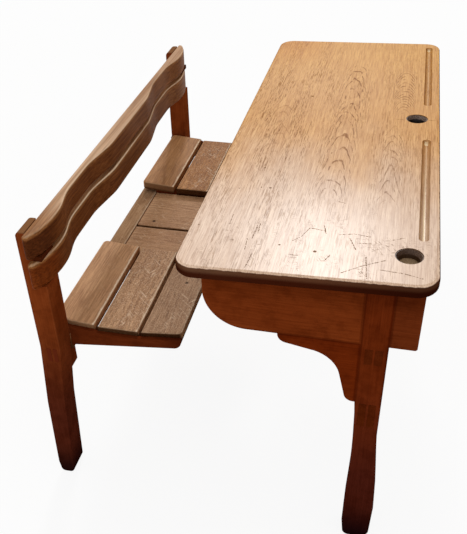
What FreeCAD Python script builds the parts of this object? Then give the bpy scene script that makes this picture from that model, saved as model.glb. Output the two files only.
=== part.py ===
import FreeCAD, Part
import os
import re
import Sketcher

# An oak school desk for two pupils, joined to its bench by a bridge of boards at seat height.
# Millimetres, +Z up. +X runs from the bench to the desk, the way the pupils face, and Y along the
# desk's length. The origin is on the floor under the middle of the whole piece of furniture.
# Outlines are drawn from the pupils' edge of the top, so places on the bench have a negative x.

SIZES = {
    # Desk top
    "top_length": 1150,
    "top_depth": 443.5,
    "top_thickness": 25,
    "top_height": 691,
    "top_rise": 14.7,
    "top_corner_radius": 38,
    "top_edge_radius": 7,
    "rear_board_width": 116,
    # Pen grooves and inkwell holes
    "groove_width": 18,
    "groove_depth": 7,
    "groove_inset": 28.5,
    "groove_length": 401,
    "groove_start": 133,
    "groove_pitch": 581,
    "well_diameter": 48,
    "well_inset": 51,
    "well_start": 86,
    "well_pitch": 553,
    # Inkwell cups
    "cup_recess": 1.6,
    "cup_rim_thickness": 4,
    "cup_clearance": 0.3,
    "cup_body_diameter": 43.6,
    "cup_height": 20,
    "cup_mouth_diameter": 44,
    "cup_throat_diameter": 34,
    "cup_throat_depth": 13,
    "cup_floor_depth": 15,
    # End frames of the desk
    "end_overhang": 28,
    "panel_thickness": 22,
    "panel_setback": 46,
    "panel_back_setback": 17.5,
    "box_depth": 143,
    "panel_round": 78,
    "leg_thickness": 46,
    "rear_panel_round": 5,
    "leg_depth": 49,
    "leg_rear_inset": 65.5,
    "leg_waist": 4.5,
    "leg_foot_flare": 13,
    "leg_foot_height": 105,
    "leg_knee_height": 318,
    "leg_heel_taper": 4,
    "leg_heel_round": 24,
    "leg_toe_height": 50,
    "leg_toe_taper": 5,
    "leg_toe_round": 14,
    "bracket_length": 148,
    "bracket_tip": 16.5,
    "bracket_shoulder": 36.5,
    "bracket_height": 142.5,
    "bracket_foot": 17.5,
    "bracket_neck": 42.5,
    "bracket_cove_radius": 65,
    "bracket_nose_radius": 18,
    # Book box
    "shelf_front": 126,
    "shelf_thickness": 14,
    "back_thickness": 16,
    "divider_thickness": 16,
    # Stretchers with twin through tenons
    "stretcher_thickness": 40,
    "upper_stretcher_height": 51,
    "lower_stretcher_height": 62,
    "tenon_thickness": 13,
    "tenon_gap": 5,
    "tenon_shoulder": 2,
    "upper_tenon_drop": 11,
    "upper_tenon_height": 35,
    "lower_tenon_height": 58,
    "tenon_play": 0.1,
    "tenon_proud": 0.5,
    # Bridge boards
    "bridge_width": 300,
    "bridge_drop": 297,
    "bridge_cover": 10,
    "bridge_thickness": 22,
    "bridge_gap": 8,
    "bridge_gap_offset": 22,
    "bridge_housing": 12,
    # Bench posts
    "bench_length": 1016,
    "post_thickness": 52,
    "post_back": 319,
    "post_front": 276,
    "post_knee_back": 332,
    "post_knee_front": 292,
    "post_knee_height": 230,
    "post_foot_back": 339,
    "post_foot_front": 304,
    "post_foot_height": 32,
    "post_heel_taper": 4,
    "post_heel_round": 9,
    "post_toe_round": 14,
    "post_top_round": 11,
    "arris_radius": 2.5,
    # Rear rail of the bench
    "bench_rail_back": 315,
    "bench_rail_depth": 40,
    "bench_rail_height": 42,
    "bench_tenon_thickness": 8.5,
    "bench_tenon_gap": 5,
    "bench_tenon_height": 35,
    # Seat slats and their bearers
    "seat_back": 311,
    "slat_width": 88,
    "slat_gap": 7.5,
    "slat_thickness": 20,
    "slat_overhang": 4,
    "slat_edge_radius": 5,
    "slat_corner_radius": 11,
    "back_slat_back_rise": 32,
    "back_slat_front_rise": 25,
    "middle_slat_rise": 21,
    "front_slat_back_rise": 22,
    "front_slat_front_rise": 32,
    "bearer_thickness": 28,
    "bearer_lip_thickness": 9,
    "bearer_lip_rise": 9,
    "bearer_root_drop": 31,
    "bearer_toe_drop": 1,
    "bearer_toe_radius": 18,
    "inner_toe_radius": 9,
    "haunch_drop": 96,
    "haunch_front": 285,
    "haunch_radius": 24,
    # Backrest rails
    "rail_back": 300,
    "rail_end": 289,
    "rail_cheek": 276.5,
    "rail_lobe": 269,
    "rail_hollow": 284,
    "rail_middle": 268.5,
    "rail_overhang": 15,
    "rail_cheek_start": 28,
    "rail_lobe_start": 70,
    "rail_lobe_end": 113,
    "rail_hollow_start": 176,
    "rail_hollow_end": 295,
    "rail_middle_start": 392,
    "rail_wave_radius": 200,
    "rail_end_radius": 5.5,
    "rail_cheek_radius": 45,
    "rail_edge_radius": 5,
    "upper_rail_rise": 230,
    "upper_rail_height": 53,
    "lower_rail_rise": 161,
    "lower_rail_height": 59,
    # Round-headed screws through the posts into the backrest rails
    "screw_diameter": 5,
    "screw_head_radius": 4.2,
    "screw_grip": 13,
    "screw_spacing": 26,
    "screw_play": 0.1,
    # Every cut starts and ends this far outside the wood
    "cut_overrun": 5,
}

# Matching tolerance for edges and points, in millimetres.
HAIR = 0.01
FULL_TURN = 360

doc = FreeCAD.newDocument("school_desk")
sheet = doc.addObject("Spreadsheet::Sheet", "Sizes")
for row, (alias, value) in enumerate(SIZES.items(), start=1):
    sheet.set(f"A{row}", alias)
    sheet.set(f"B{row}", str(value))
    sheet.setAlias(f"B{row}", alias)
doc.recompute()

# Derived places, as formulas of the sheet's names.
MIDDLE_SHIFT = "(post_foot_back - top_depth) / 2"
TOP_HALF = "top_length / 2"
FRAME_OUT = "(top_length / 2 - end_overhang)"
PANEL_IN = "(top_length / 2 - end_overhang - panel_thickness)"
LEG_IN = "(top_length / 2 - end_overhang - leg_thickness)"
BOX_BACK = "(top_depth - panel_back_setback)"
BOX_BOTTOM = "(top_height - box_depth)"
LEG_REAR = "(top_depth - leg_rear_inset)"
LEG_FRONT = "(top_depth - leg_rear_inset - leg_depth)"
STRETCHER_MID = f"({LEG_REAR} - leg_depth / 2)"
BRIDGE_TOP = "(top_height - bridge_drop)"
LOWER_STRETCHER_TOP = f"({BRIDGE_TOP} + bridge_cover)"
BENCH_OUT = "(bench_length / 2)"
POST_IN = "(bench_length / 2 - post_thickness)"
RAIL_OUT = "(bench_length / 2 + rail_overhang)"
BRIDGE_EDGE = "(bridge_width / 2)"
SEAT_FRONT = "(-seat_back + 3 * slat_width + 2 * slat_gap)"
BENCH_RAIL_FRONT = "(bench_rail_depth - bench_rail_back)"
SIDES = {"near": -1, "far": 1}

parts = []


def formula(text):
    """Point each sheet name in a formula at its cell."""
    return re.sub(r"[a-z][a-z_]+", lambda word: "Sizes." + word[0] if word[0] in SIZES else word[0], text)


def size(text):
    """Value of a formula."""
    result = sheet.evalExpression(formula(text))
    return float(getattr(result, "Value", result))


def bind(item, prop, text):
    item.setExpression(prop, formula(text))


def under_top(x):
    """Height of the underside of the sloping top at x."""
    return f"(top_height - top_thickness + ({x}) * top_rise / top_depth)"


def span(side, inner, outer):
    """The two y formulas of a piece that lies between inner and outer on one side of the middle."""
    return (f"-({outer})", f"-({inner})") if side < 0 else (inner, outer)


def new_body(label):
    body = doc.addObject("PartDesign::Body", label)
    body.Label = label
    bind(body, "Placement.Base.x", MIDDLE_SHIFT)
    parts.append(body)
    return body


def new_sketch(body, plane, offset="0"):
    """An empty sketch on one of the body's planes, moved along the plane's normal."""
    sketch = body.newObject("Sketcher::SketchObject", f"{body.Name}_sketch")
    support = next(item for item in body.Origin.OriginFeatures if item.Role == plane)
    sketch.AttachmentSupport = (support, [""])
    sketch.MapMode = "FlatFace"
    bind(sketch, "AttachmentOffset.Base.z", offset)
    return sketch


def fix_point(sketch, item, end, place):
    """Dimension a point of the sketch from its origin."""
    for kind, text in zip(("DistanceX", "DistanceY"), place):
        number = sketch.addConstraint(Sketcher.Constraint(kind, -1, 1, item, end, size(text)))
        bind(sketch, f"Constraints[{number}]", text)


def draw(sketch, outline):
    """A closed outline of straight lines through the given places."""
    first = sketch.GeometryCount
    corners = [FreeCAD.Vector(size(u), size(v), 0) for u, v in outline]
    count = len(corners)
    for number in range(count):
        line = Part.LineSegment(corners[number], corners[(number + 1) % count])
        sketch.addGeometry(line, False)
    for number in range(count):
        following = first + (number + 1) % count
        sketch.addConstraint(Sketcher.Constraint("Coincident", first + number, 2, following, 1))
        fix_point(sketch, first + number, 1, outline[number])


def draw_circle(sketch, place, radius):
    centre = FreeCAD.Vector(size(place[0]), size(place[1]), 0)
    item = sketch.addGeometry(Part.Circle(centre, FreeCAD.Vector(0, 0, 1), size(radius)), False)
    fix_point(sketch, item, 3, place)
    number = sketch.addConstraint(Sketcher.Constraint("Radius", item, size(radius)))
    bind(sketch, f"Constraints[{number}]", radius)


def rectangle(u_low, u_high, v_low, v_high):
    return [(u_low, v_low), (u_high, v_low), (u_high, v_high), (u_low, v_high)]


def pad(body, sketch, length, reverse=False):
    feature = body.newObject("PartDesign::Pad", f"{body.Name}_pad")
    feature.Profile = sketch
    feature.Reversed = reverse
    bind(feature, "Length", length)
    doc.recompute()
    return feature


def pocket(body, sketch, length, reverse=False):
    before = body.Shape.Volume
    feature = body.newObject("PartDesign::Pocket", f"{body.Name}_pocket")
    feature.Profile = sketch
    feature.Reversed = reverse
    bind(feature, "Length", length)
    doc.recompute()
    if body.Shape.Volume >= before:
        raise RuntimeError(f"{body.Label}: a pocket cut nothing")
    return feature


def fillet(body, radius, wanted):
    """Round the edges of the body that the test picks."""
    base = body.Tip
    edges = [f"Edge{number}" for number, edge in enumerate(base.Shape.Edges, start=1) if wanted(edge)]
    if not edges:
        raise RuntimeError(f"{body.Label}: no edge to round by {radius}")
    feature = body.newObject("PartDesign::Fillet", f"{body.Name}_{radius}")
    feature.Base = (base, edges)
    bind(feature, "Radius", radius)
    doc.recompute()
    if feature.Shape.isNull():
        raise RuntimeError(f"{body.Label}: rounding by {radius} failed")
    return feature


def lies_on(point, direction):
    """Test for edges that run along one line."""
    return lambda edge: all(
        vertex.Point.distanceToLine(point, direction) < HAIR for vertex in edge.Vertexes
    )


def in_plane(axis, place):
    """Test for edges that lie in a plane square to an axis."""
    def test(edge):
        low, high = getattr(edge.BoundBox, axis + "Min"), getattr(edge.BoundBox, axis + "Max")
        return abs(low - place) < HAIR and abs(high - place) < HAIR
    return test


def round_corners(body, sketch, outline, radii):
    """Round the edges that stand on numbered corners of an outline."""
    normal = sketch.Placement.Rotation.multVec(FreeCAD.Vector(0, 0, 1))
    for radius in dict.fromkeys(radii.values()):
        tests = []
        for corner, chosen in radii.items():
            if chosen == radius:
                u, v = outline[corner]
                spot = sketch.Placement.multVec(FreeCAD.Vector(size(u), size(v), 0))
                tests.append(lies_on(spot, normal))
        fillet(body, radius, lambda edge: any(test(edge) for test in tests))


def face_rim(body, direction, skip=None):
    """Test for the edges round the body's outermost flat face that looks in a direction."""
    faces = [face for face in body.Tip.Shape.Faces if face.normalAt(0, 0).dot(direction) > 1 - HAIR]
    face = max(faces, key=lambda item: item.Area)
    rim = [edge for edge in face.OuterWire.Edges if not (skip and skip(edge))]
    return lambda edge: any(edge.isSame(other) for other in rim)


def board(label, outline, y_low, y_high, radii=None):
    """A board cut to an outline seen from the end of the desk, between two places along it."""
    body = new_body(label)
    sketch = new_sketch(body, "XZ_Plane", f"-({y_low})")
    draw(sketch, outline)
    pad(body, sketch, f"({y_high}) - ({y_low})", reverse=True)
    round_corners(body, sketch, outline, radii or {})
    return body


def flat_board(label, outline, z_low, height, radii=None):
    """A board cut to an outline seen from above."""
    body = new_body(label)
    sketch = new_sketch(body, "XY_Plane", z_low)
    draw(sketch, outline)
    pad(body, sketch, height)
    round_corners(body, sketch, outline, radii or {})
    return body


def cut_along(body, outlines, y_low, y_high):
    """Cut rectangles along Y between two places."""
    sketch = new_sketch(body, "XZ_Plane", f"-({y_low})")
    for outline in outlines:
        draw(sketch, outline)
    pocket(body, sketch, f"({y_high}) - ({y_low})")


def cut_through(body, outlines, y_low, y_high):
    """Cut rectangles along Y right through a board."""
    cut_along(body, outlines, f"({y_low}) - cut_overrun", f"({y_high}) + cut_overrun")


def twin_tenons(middle, thickness, gap, bottom, height, play="0"):
    """Outlines of two tenons side by side, or of their mortises with some play."""
    low, high = f"({bottom}) - {play}", f"({bottom}) + ({height}) + {play}"
    inner, outer = f"{gap} / 2 - {play}", f"{gap} / 2 + {thickness} + {play}"
    return [
        rectangle(f"{middle} - ({outer})", f"{middle} - ({inner})", low, high),
        rectangle(f"{middle} + {inner}", f"{middle} + {outer}", low, high),
    ]


def add_tenons(body, outlines, reach):
    """Run tenons from end to end through a rail, so that they stand out at both ends."""
    sketch = new_sketch(body, "XZ_Plane", reach)
    for outline in outlines:
        draw(sketch, outline)
    pad(body, sketch, f"2 * ({reach})", reverse=True)


# Twin tenons of the three lengthwise rails.
UPPER_TENONS = (STRETCHER_MID, "tenon_thickness", "tenon_gap",
                f"{BOX_BOTTOM} - upper_tenon_drop - upper_tenon_height", "upper_tenon_height")
LOWER_TENONS = (STRETCHER_MID, "tenon_thickness", "tenon_gap",
                f"{LOWER_STRETCHER_TOP} - tenon_shoulder - lower_tenon_height", "lower_tenon_height")
BENCH_TENONS = ("(bench_rail_depth / 2 - bench_rail_back)", "bench_tenon_thickness", "bench_tenon_gap",
                f"{BRIDGE_TOP} - tenon_shoulder - bench_tenon_height", "bench_tenon_height")


# Desk top, glued up from a wide main board and a rear board.
SEAM = "(top_depth - rear_board_width)"


def top_board(label, front, back, corner_x):
    """One board of the top, its outer corners rounded in plan and its outer edges rounded over."""
    thickness = "top_thickness"
    outline = [
        (front, under_top(front)),
        (back, under_top(back)),
        (back, f"{under_top(back)} + {thickness}"),
        (front, f"{under_top(front)} + {thickness}"),
    ]
    body = board(label, outline, f"-{TOP_HALF}", TOP_HALF)
    up = FreeCAD.Vector(0, 0, 1)
    corners = [
        lies_on(FreeCAD.Vector(size(corner_x), side * size(TOP_HALF), 0), up) for side in SIDES.values()
    ]
    fillet(body, "top_corner_radius", lambda edge: any(test(edge) for test in corners))
    seam = in_plane("X", size(SEAM))
    slope = FreeCAD.Vector(-size("top_rise"), 0, size("top_depth")).normalize()
    for direction in (slope, -slope):
        fillet(body, "top_edge_radius", face_rim(body, direction, skip=seam))
    return body


def surface(x):
    """Height of the writing surface at x."""
    return f"({under_top(x)} + top_thickness)"


WELL_X = "(top_depth - well_inset)"
GROOVE_X = "(top_depth - groove_inset)"
CUP_RIM = f"({surface(WELL_X)} - cup_recess)"
CUP_LEDGE = f"({CUP_RIM} - cup_rim_thickness)"
NOSE = "((groove_width * groove_width / 4 + groove_depth * groove_depth) / (2 * groove_depth))"


def well_y(number):
    return f"(well_start + {number} * well_pitch - {TOP_HALF})"


def groove_trough(body, place):
    """A trough with a round bottom and round ends, as a round-nosed cutter leaves it."""
    start = f"(groove_start + {place} * groove_pitch - {TOP_HALF})"
    sketch = new_sketch(body, "YZ_Plane", GROOVE_X)
    bind(sketch, "AttachmentOffset.Base.y", f"{surface(GROOVE_X)} + {NOSE} - groove_depth")
    nose = size(NOSE)
    low, high = size(start) + nose, size(f"{start} + groove_length") - nose
    up = FreeCAD.Vector(0, 0, 1)
    circles = [Part.Circle(FreeCAD.Vector(place, 0, 0), up, nose) for place in (low, high)]
    turn = FreeCAD.Units.Quantity(f"{FULL_TURN / 4} deg").getValueAs("rad").Value
    first = sketch.addGeometry(Part.ArcOfCircle(circles[0], 2 * turn, 3 * turn), False)
    bed = Part.LineSegment(FreeCAD.Vector(low, -nose, 0), FreeCAD.Vector(high, -nose, 0))
    floor = sketch.addGeometry(bed, False)
    last = sketch.addGeometry(Part.ArcOfCircle(circles[1], 3 * turn, 4 * turn), False)
    lid = Part.LineSegment(FreeCAD.Vector(high + nose, 0, 0), FreeCAD.Vector(low - nose, 0, 0))
    axis = sketch.addGeometry(lid, False)
    fix_point(sketch, first, 3, (f"{start} + {NOSE}", "0"))
    fix_point(sketch, last, 3, (f"{start} + groove_length - {NOSE}", "0"))
    number = sketch.addConstraint(Sketcher.Constraint("Radius", first, nose))
    bind(sketch, f"Constraints[{number}]", NOSE)
    for rule in (
        ("Tangent", first, 2, floor, 1),
        ("Tangent", floor, 2, last, 1),
        ("Coincident", last, 2, axis, 1),
        ("Coincident", axis, 2, first, 1),
        ("Horizontal", floor),
        ("PointOnObject", last, 2, -1),
        ("PointOnObject", first, 1, -1),
    ):
        sketch.addConstraint(Sketcher.Constraint(*rule))
    before = body.Shape.Volume
    trough = body.newObject("PartDesign::Groove", f"{body.Name}_trough")
    trough.Profile = sketch
    trough.ReferenceAxis = (sketch, ["H_Axis"])
    trough.Angle = FULL_TURN
    doc.recompute()
    if body.Shape.Volume >= before:
        raise RuntimeError("a pen groove cut nothing")


def well_hole(body, number):
    """A stepped hole: a wide mouth down to the ledge that carries the cup's rim, and a through bore."""
    bore = "cup_body_diameter / 2 + cup_clearance"
    for radius, upward in (("well_diameter / 2", True), (bore, False)):
        sketch = new_sketch(body, "XY_Plane", CUP_LEDGE)
        draw_circle(sketch, (WELL_X, well_y(number)), radius)
        pocket(body, sketch, "top_thickness", reverse=upward)


def inkwell(label, number):
    """A turned cup with a rim, a funnel mouth and a shallow floor."""
    body = new_body(label)
    sketch = new_sketch(body, "XZ_Plane", f"-{well_y(number)}")
    bind(sketch, "AttachmentOffset.Base.x", WELL_X)
    bind(sketch, "AttachmentOffset.Base.y", CUP_RIM)
    draw(sketch, [
        ("0", "-cup_floor_depth"),
        ("cup_throat_diameter / 2", "-cup_floor_depth"),
        ("cup_throat_diameter / 2", "-cup_throat_depth"),
        ("cup_mouth_diameter / 2", "0"),
        ("well_diameter / 2 - cup_clearance", "0"),
        ("well_diameter / 2 - cup_clearance", "-cup_rim_thickness"),
        ("cup_body_diameter / 2", "-cup_rim_thickness"),
        ("cup_body_diameter / 2", "-cup_height"),
        ("0", "-cup_height"),
    ])
    cup = body.newObject("PartDesign::Revolution", f"{label}_turned")
    cup.Profile = sketch
    cup.ReferenceAxis = (sketch, ["V_Axis"])
    cup.Angle = FULL_TURN
    doc.recompute()


top_board("desk_top_main", "0", SEAM, "0")
rear_board = top_board("desk_top_rear", SEAM, "top_depth", "top_depth")
for place, name in enumerate(SIDES):
    well_hole(rear_board, place)
    groove_trough(rear_board, place)
    inkwell(f"inkwell_{name}", place)


# End frames: a leg that runs up to the top, a box end on each side of it and a scrolled bracket.
# The leg's rear edge sweeps back to the foot through these shares of the sweep's depth and height,
# and its front edge draws in between the bracket and the foot through the waist's own shares.
FLARE_SHARES = ((1, 0), (0.9, 0.14), (0.62, 0.38), (0.27, 0.66), (0.07, 0.86), (0, 1))
WAIST_SHARES = ((0.45, 0.9), (0.9, 0.68), (1, 0.5), (0.85, 0.32), (0.5, 0.15), (0.15, 0))


def desk_leg(label, side):
    flare = [
        (f"{LEG_REAR} + {out} * leg_foot_flare",
         f"leg_foot_height + {up} * (leg_knee_height - leg_foot_height)")
        for out, up in FLARE_SHARES
    ]
    waist = [
        (f"{LEG_FRONT} + {inward} * leg_waist",
         f"leg_foot_height + {up} * ({BOX_BOTTOM} - bracket_height - leg_foot_height)")
        for inward, up in WAIST_SHARES
    ]
    outline = [
        (f"{LEG_FRONT} + leg_toe_taper", "0"),
        (f"{LEG_REAR} + leg_foot_flare - leg_heel_taper", "0"),
        *flare,
        (LEG_REAR, under_top(LEG_REAR)),
        (LEG_FRONT, under_top(LEG_FRONT)),
        (LEG_FRONT, f"{BOX_BOTTOM} - bracket_height"),
        *waist,
        (LEG_FRONT, "leg_toe_height"),
    ]
    radii = {0: "leg_toe_round", 1: "leg_heel_round"}
    low, high = span(side, LEG_IN, FRAME_OUT)
    body = board(label, outline, low, high, radii)
    for tenons in (UPPER_TENONS, LOWER_TENONS):
        cut_through(body, twin_tenons(*tenons, play="tenon_play"), low, high)


def side_panel(label, side):
    outline = [
        ("panel_setback", under_top("panel_setback")),
        ("panel_setback", BOX_BOTTOM),
        (LEG_FRONT, BOX_BOTTOM),
        (LEG_FRONT, under_top(LEG_FRONT)),
    ]
    board(label, outline, *span(side, PANEL_IN, FRAME_OUT), {1: "panel_round"})


def rear_panel(label, side):
    outline = [
        (LEG_REAR, under_top(LEG_REAR)),
        (LEG_REAR, BOX_BOTTOM),
        (BOX_BACK, BOX_BOTTOM),
        (BOX_BACK, under_top(BOX_BACK)),
    ]
    board(label, outline, *span(side, PANEL_IN, FRAME_OUT), {2: "rear_panel_round"})


def leg_bracket(label, side):
    outline = [
        (f"{LEG_FRONT} - bracket_length", BOX_BOTTOM),
        (f"{LEG_FRONT} - bracket_length", f"{BOX_BOTTOM} - bracket_tip"),
        (f"{LEG_FRONT} - bracket_neck", f"{BOX_BOTTOM} - bracket_shoulder"),
        (f"{LEG_FRONT} - bracket_foot", f"{BOX_BOTTOM} - bracket_height"),
        (LEG_FRONT, f"{BOX_BOTTOM} - bracket_height"),
        (LEG_FRONT, BOX_BOTTOM),
    ]
    radii = {1: "bracket_nose_radius", 2: "bracket_cove_radius", 3: "bracket_nose_radius"}
    board(label, outline, *span(side, PANEL_IN, FRAME_OUT), radii)


for name, side in SIDES.items():
    desk_leg(f"desk_leg_{name}", side)
    side_panel(f"side_panel_{name}", side)
    rear_panel(f"side_panel_rear_{name}", side)
    leg_bracket(f"leg_bracket_{name}", side)


# Book box, open towards the pupils, and the two stretchers below it.
BOX_FRONT_OF_BACK = f"({BOX_BACK} - back_thickness)"
SHELF_TOP = f"({BOX_BOTTOM} + shelf_thickness)"

flat_board("book_shelf", [
    ("shelf_front", f"-{PANEL_IN}"),
    (LEG_FRONT, f"-{PANEL_IN}"),
    (LEG_FRONT, f"-{LEG_IN}"),
    (LEG_REAR, f"-{LEG_IN}"),
    (LEG_REAR, f"-{PANEL_IN}"),
    (BOX_FRONT_OF_BACK, f"-{PANEL_IN}"),
    (BOX_FRONT_OF_BACK, PANEL_IN),
    (LEG_REAR, PANEL_IN),
    (LEG_REAR, LEG_IN),
    (LEG_FRONT, LEG_IN),
    (LEG_FRONT, PANEL_IN),
    ("shelf_front", PANEL_IN),
], BOX_BOTTOM, "shelf_thickness")

board("book_back", [
    (BOX_FRONT_OF_BACK, BOX_BOTTOM),
    (BOX_BACK, BOX_BOTTOM),
    (BOX_BACK, under_top(BOX_BACK)),
    (BOX_FRONT_OF_BACK, under_top(BOX_FRONT_OF_BACK)),
], f"-{PANEL_IN}", PANEL_IN)

board("book_divider", [
    ("shelf_front", SHELF_TOP),
    (BOX_FRONT_OF_BACK, SHELF_TOP),
    (BOX_FRONT_OF_BACK, under_top(BOX_FRONT_OF_BACK)),
    ("shelf_front", under_top("shelf_front")),
], "-divider_thickness / 2", "divider_thickness / 2")


def stretcher(label, top, height, tenons):
    """A lengthwise rail between the legs, with twin tenons through them."""
    half = "stretcher_thickness / 2"
    outline = rectangle(f"{STRETCHER_MID} - {half}", f"{STRETCHER_MID} + {half}",
                        f"{top} - {height}", top)
    body = board(label, outline, f"-{LEG_IN}", LEG_IN)
    add_tenons(body, twin_tenons(*tenons), f"{FRAME_OUT} + tenon_proud")
    return body


stretcher("upper_stretcher", BOX_BOTTOM, "upper_stretcher_height", UPPER_TENONS)
lower = stretcher("lower_stretcher", LOWER_STRETCHER_TOP, "lower_stretcher_height", LOWER_TENONS)

# Bridge boards, butted to the bench's rear rail and housed in the lower stretcher.
STRETCHER_FRONT = f"({STRETCHER_MID} - stretcher_thickness / 2)"
HOUSING_END = f"({STRETCHER_FRONT} + bridge_housing)"
BRIDGE_BOTTOM = f"({BRIDGE_TOP} - bridge_thickness)"

housing = rectangle(f"{STRETCHER_FRONT} - cut_overrun", HOUSING_END,
                    f"{BRIDGE_BOTTOM} - tenon_play", f"{BRIDGE_TOP} + tenon_play")
cut_along(lower, [housing], f"-{BRIDGE_EDGE} - tenon_play", f"{BRIDGE_EDGE} + tenon_play")
BRIDGE_SPLIT = {
    "near": (f"-{BRIDGE_EDGE}", "-bridge_gap_offset - bridge_gap / 2"),
    "far": ("-bridge_gap_offset + bridge_gap / 2", BRIDGE_EDGE),
}
for name, (low, high) in BRIDGE_SPLIT.items():
    outline = rectangle(BENCH_RAIL_FRONT, HOUSING_END, BRIDGE_BOTTOM, BRIDGE_TOP)
    bridge = board(f"bridge_board_{name}", outline, low, high)
    housed = in_plane("X", size(HOUSING_END))
    fillet(bridge, "arris_radius", face_rim(bridge, FreeCAD.Vector(0, 0, 1), skip=housed))


# Bench: posts that are leg and back post in one, notched for the backrest rails.
LOWER_RAIL = f"({BRIDGE_TOP} + lower_rail_rise)"
UPPER_RAIL = f"({BRIDGE_TOP} + upper_rail_rise)"
LOWER_RAIL_TOP = f"({LOWER_RAIL} + lower_rail_height)"
UPPER_RAIL_TOP = f"({UPPER_RAIL} + upper_rail_height)"
SCREW_HEIGHTS = [
    f"({bottom} + {height} / 2 {sign} screw_spacing / 2)"
    for bottom, height in ((UPPER_RAIL, "upper_rail_height"), (LOWER_RAIL, "lower_rail_height"))
    for sign in "-+"
]
POST_MID = "(bench_length / 2 - post_thickness / 2)"


def bench_post(label, side):
    outline = [
        ("-post_foot_back + post_heel_taper", "0"),
        ("-post_foot_front", "0"),
        ("-post_knee_front", "post_knee_height"),
        ("-post_front", BRIDGE_TOP),
        ("-post_front", LOWER_RAIL),
        ("-rail_back", LOWER_RAIL),
        ("-rail_back", LOWER_RAIL_TOP),
        ("-post_front", LOWER_RAIL_TOP),
        ("-post_front", UPPER_RAIL),
        ("-rail_back", UPPER_RAIL),
        ("-rail_back", UPPER_RAIL_TOP),
        ("-post_back", UPPER_RAIL_TOP),
        ("-post_back", BRIDGE_TOP),
        ("-post_knee_back", "post_knee_height"),
        ("-post_foot_back", "post_foot_height"),
    ]
    radii = {0: "post_heel_round", 1: "post_toe_round", 11: "post_top_round"}
    low, high = span(side, POST_IN, BENCH_OUT)
    body = board(label, outline, low, high, radii)
    cut_through(body, twin_tenons(*BENCH_TENONS, play="tenon_play"), low, high)
    holes = [(side, height) for height in SCREW_HEIGHTS]
    screw_holes(body, "-post_back", "post_back - rail_back + cut_overrun", holes)


def screw_holes(body, start, depth, places):
    """Bores along X for the backrest screws, from a face at start."""
    sketch = new_sketch(body, "YZ_Plane", f"{start} - cut_overrun")
    for side, height in places:
        draw_circle(sketch, (f"{side} * {POST_MID}", height), "screw_diameter / 2 + screw_play")
    pocket(body, sketch, f"{depth} + cut_overrun", reverse=True)


for name, side in SIDES.items():
    bench_post(f"bench_post_{name}", side)

bench_rail = board(
    "bench_rear_rail",
    rectangle("-bench_rail_back", BENCH_RAIL_FRONT, f"{BRIDGE_TOP} - bench_rail_height", BRIDGE_TOP),
    f"-{POST_IN}",
    POST_IN,
)
add_tenons(bench_rail, twin_tenons(*BENCH_TENONS), f"{BENCH_OUT} + tenon_proud")


# Dished seats of three slats on shaped bearers.
def slat_edges(number):
    """x of a slat's back and front edge."""
    back = f"(-seat_back + {number} * (slat_width + slat_gap))"
    return back, f"({back} + slat_width)"


def seat_height(rise):
    return f"({BRIDGE_TOP} + {rise})"


SLATS = {
    "back": (*slat_edges(0), *map(seat_height, ("back_slat_back_rise", "back_slat_front_rise"))),
    "middle": (*slat_edges(1), *map(seat_height, ("middle_slat_rise", "middle_slat_rise"))),
    "front": (*slat_edges(2), *map(seat_height, ("front_slat_back_rise", "front_slat_front_rise"))),
}
# Edges of the seat whose corners are rounded in plan.
ROUNDED_EDGES = {"back": SLATS["back"][0], "front": SLATS["front"][1]}
# Undersides of the slats from the front of the seat to the back, which the bearers follow.
SEAT_LINE = [
    place
    for back, front, back_top, front_top in reversed(SLATS.values())
    for place in ((front, f"{front_top} - slat_thickness"), (back, f"{back_top} - slat_thickness"))
]
BACK_SLOPE = "((back_slat_front_rise - back_slat_back_rise) / slat_width)"
SEAT_BACK_TOP = SLATS["back"][2]
BEARER_ROOT = f"({BRIDGE_TOP} - bearer_root_drop)"
BEARER_TOE = f"({BRIDGE_TOP} - bearer_toe_drop)"
HAUNCH_BOTTOM = f"({BRIDGE_TOP} - haunch_drop)"
# The slats end at the lip of the outer bearers.
SLAT_END = f"({POST_IN} - bearer_lip_thickness)"


def seat_slat(label, side, rounded, back, front, back_top, front_top):
    outline = [
        (back, f"{back_top} - slat_thickness"),
        (front, f"{front_top} - slat_thickness"),
        (front, front_top),
        (back, back_top),
    ]
    ends = span(side, f"({BRIDGE_EDGE} - slat_overhang)", SLAT_END)
    body = board(label, outline, *ends)
    if rounded:
        up = FreeCAD.Vector(0, 0, 1)
        corners = [lies_on(FreeCAD.Vector(size(rounded), size(end), 0), up) for end in ends]
        fillet(body, "slat_corner_radius", lambda edge: any(test(edge) for test in corners))
    tilt = FreeCAD.Vector(size(f"{back_top} - {front_top}"), 0, size("slat_width")).normalize()
    fillet(body, "slat_edge_radius", face_rim(body, tilt))


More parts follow.
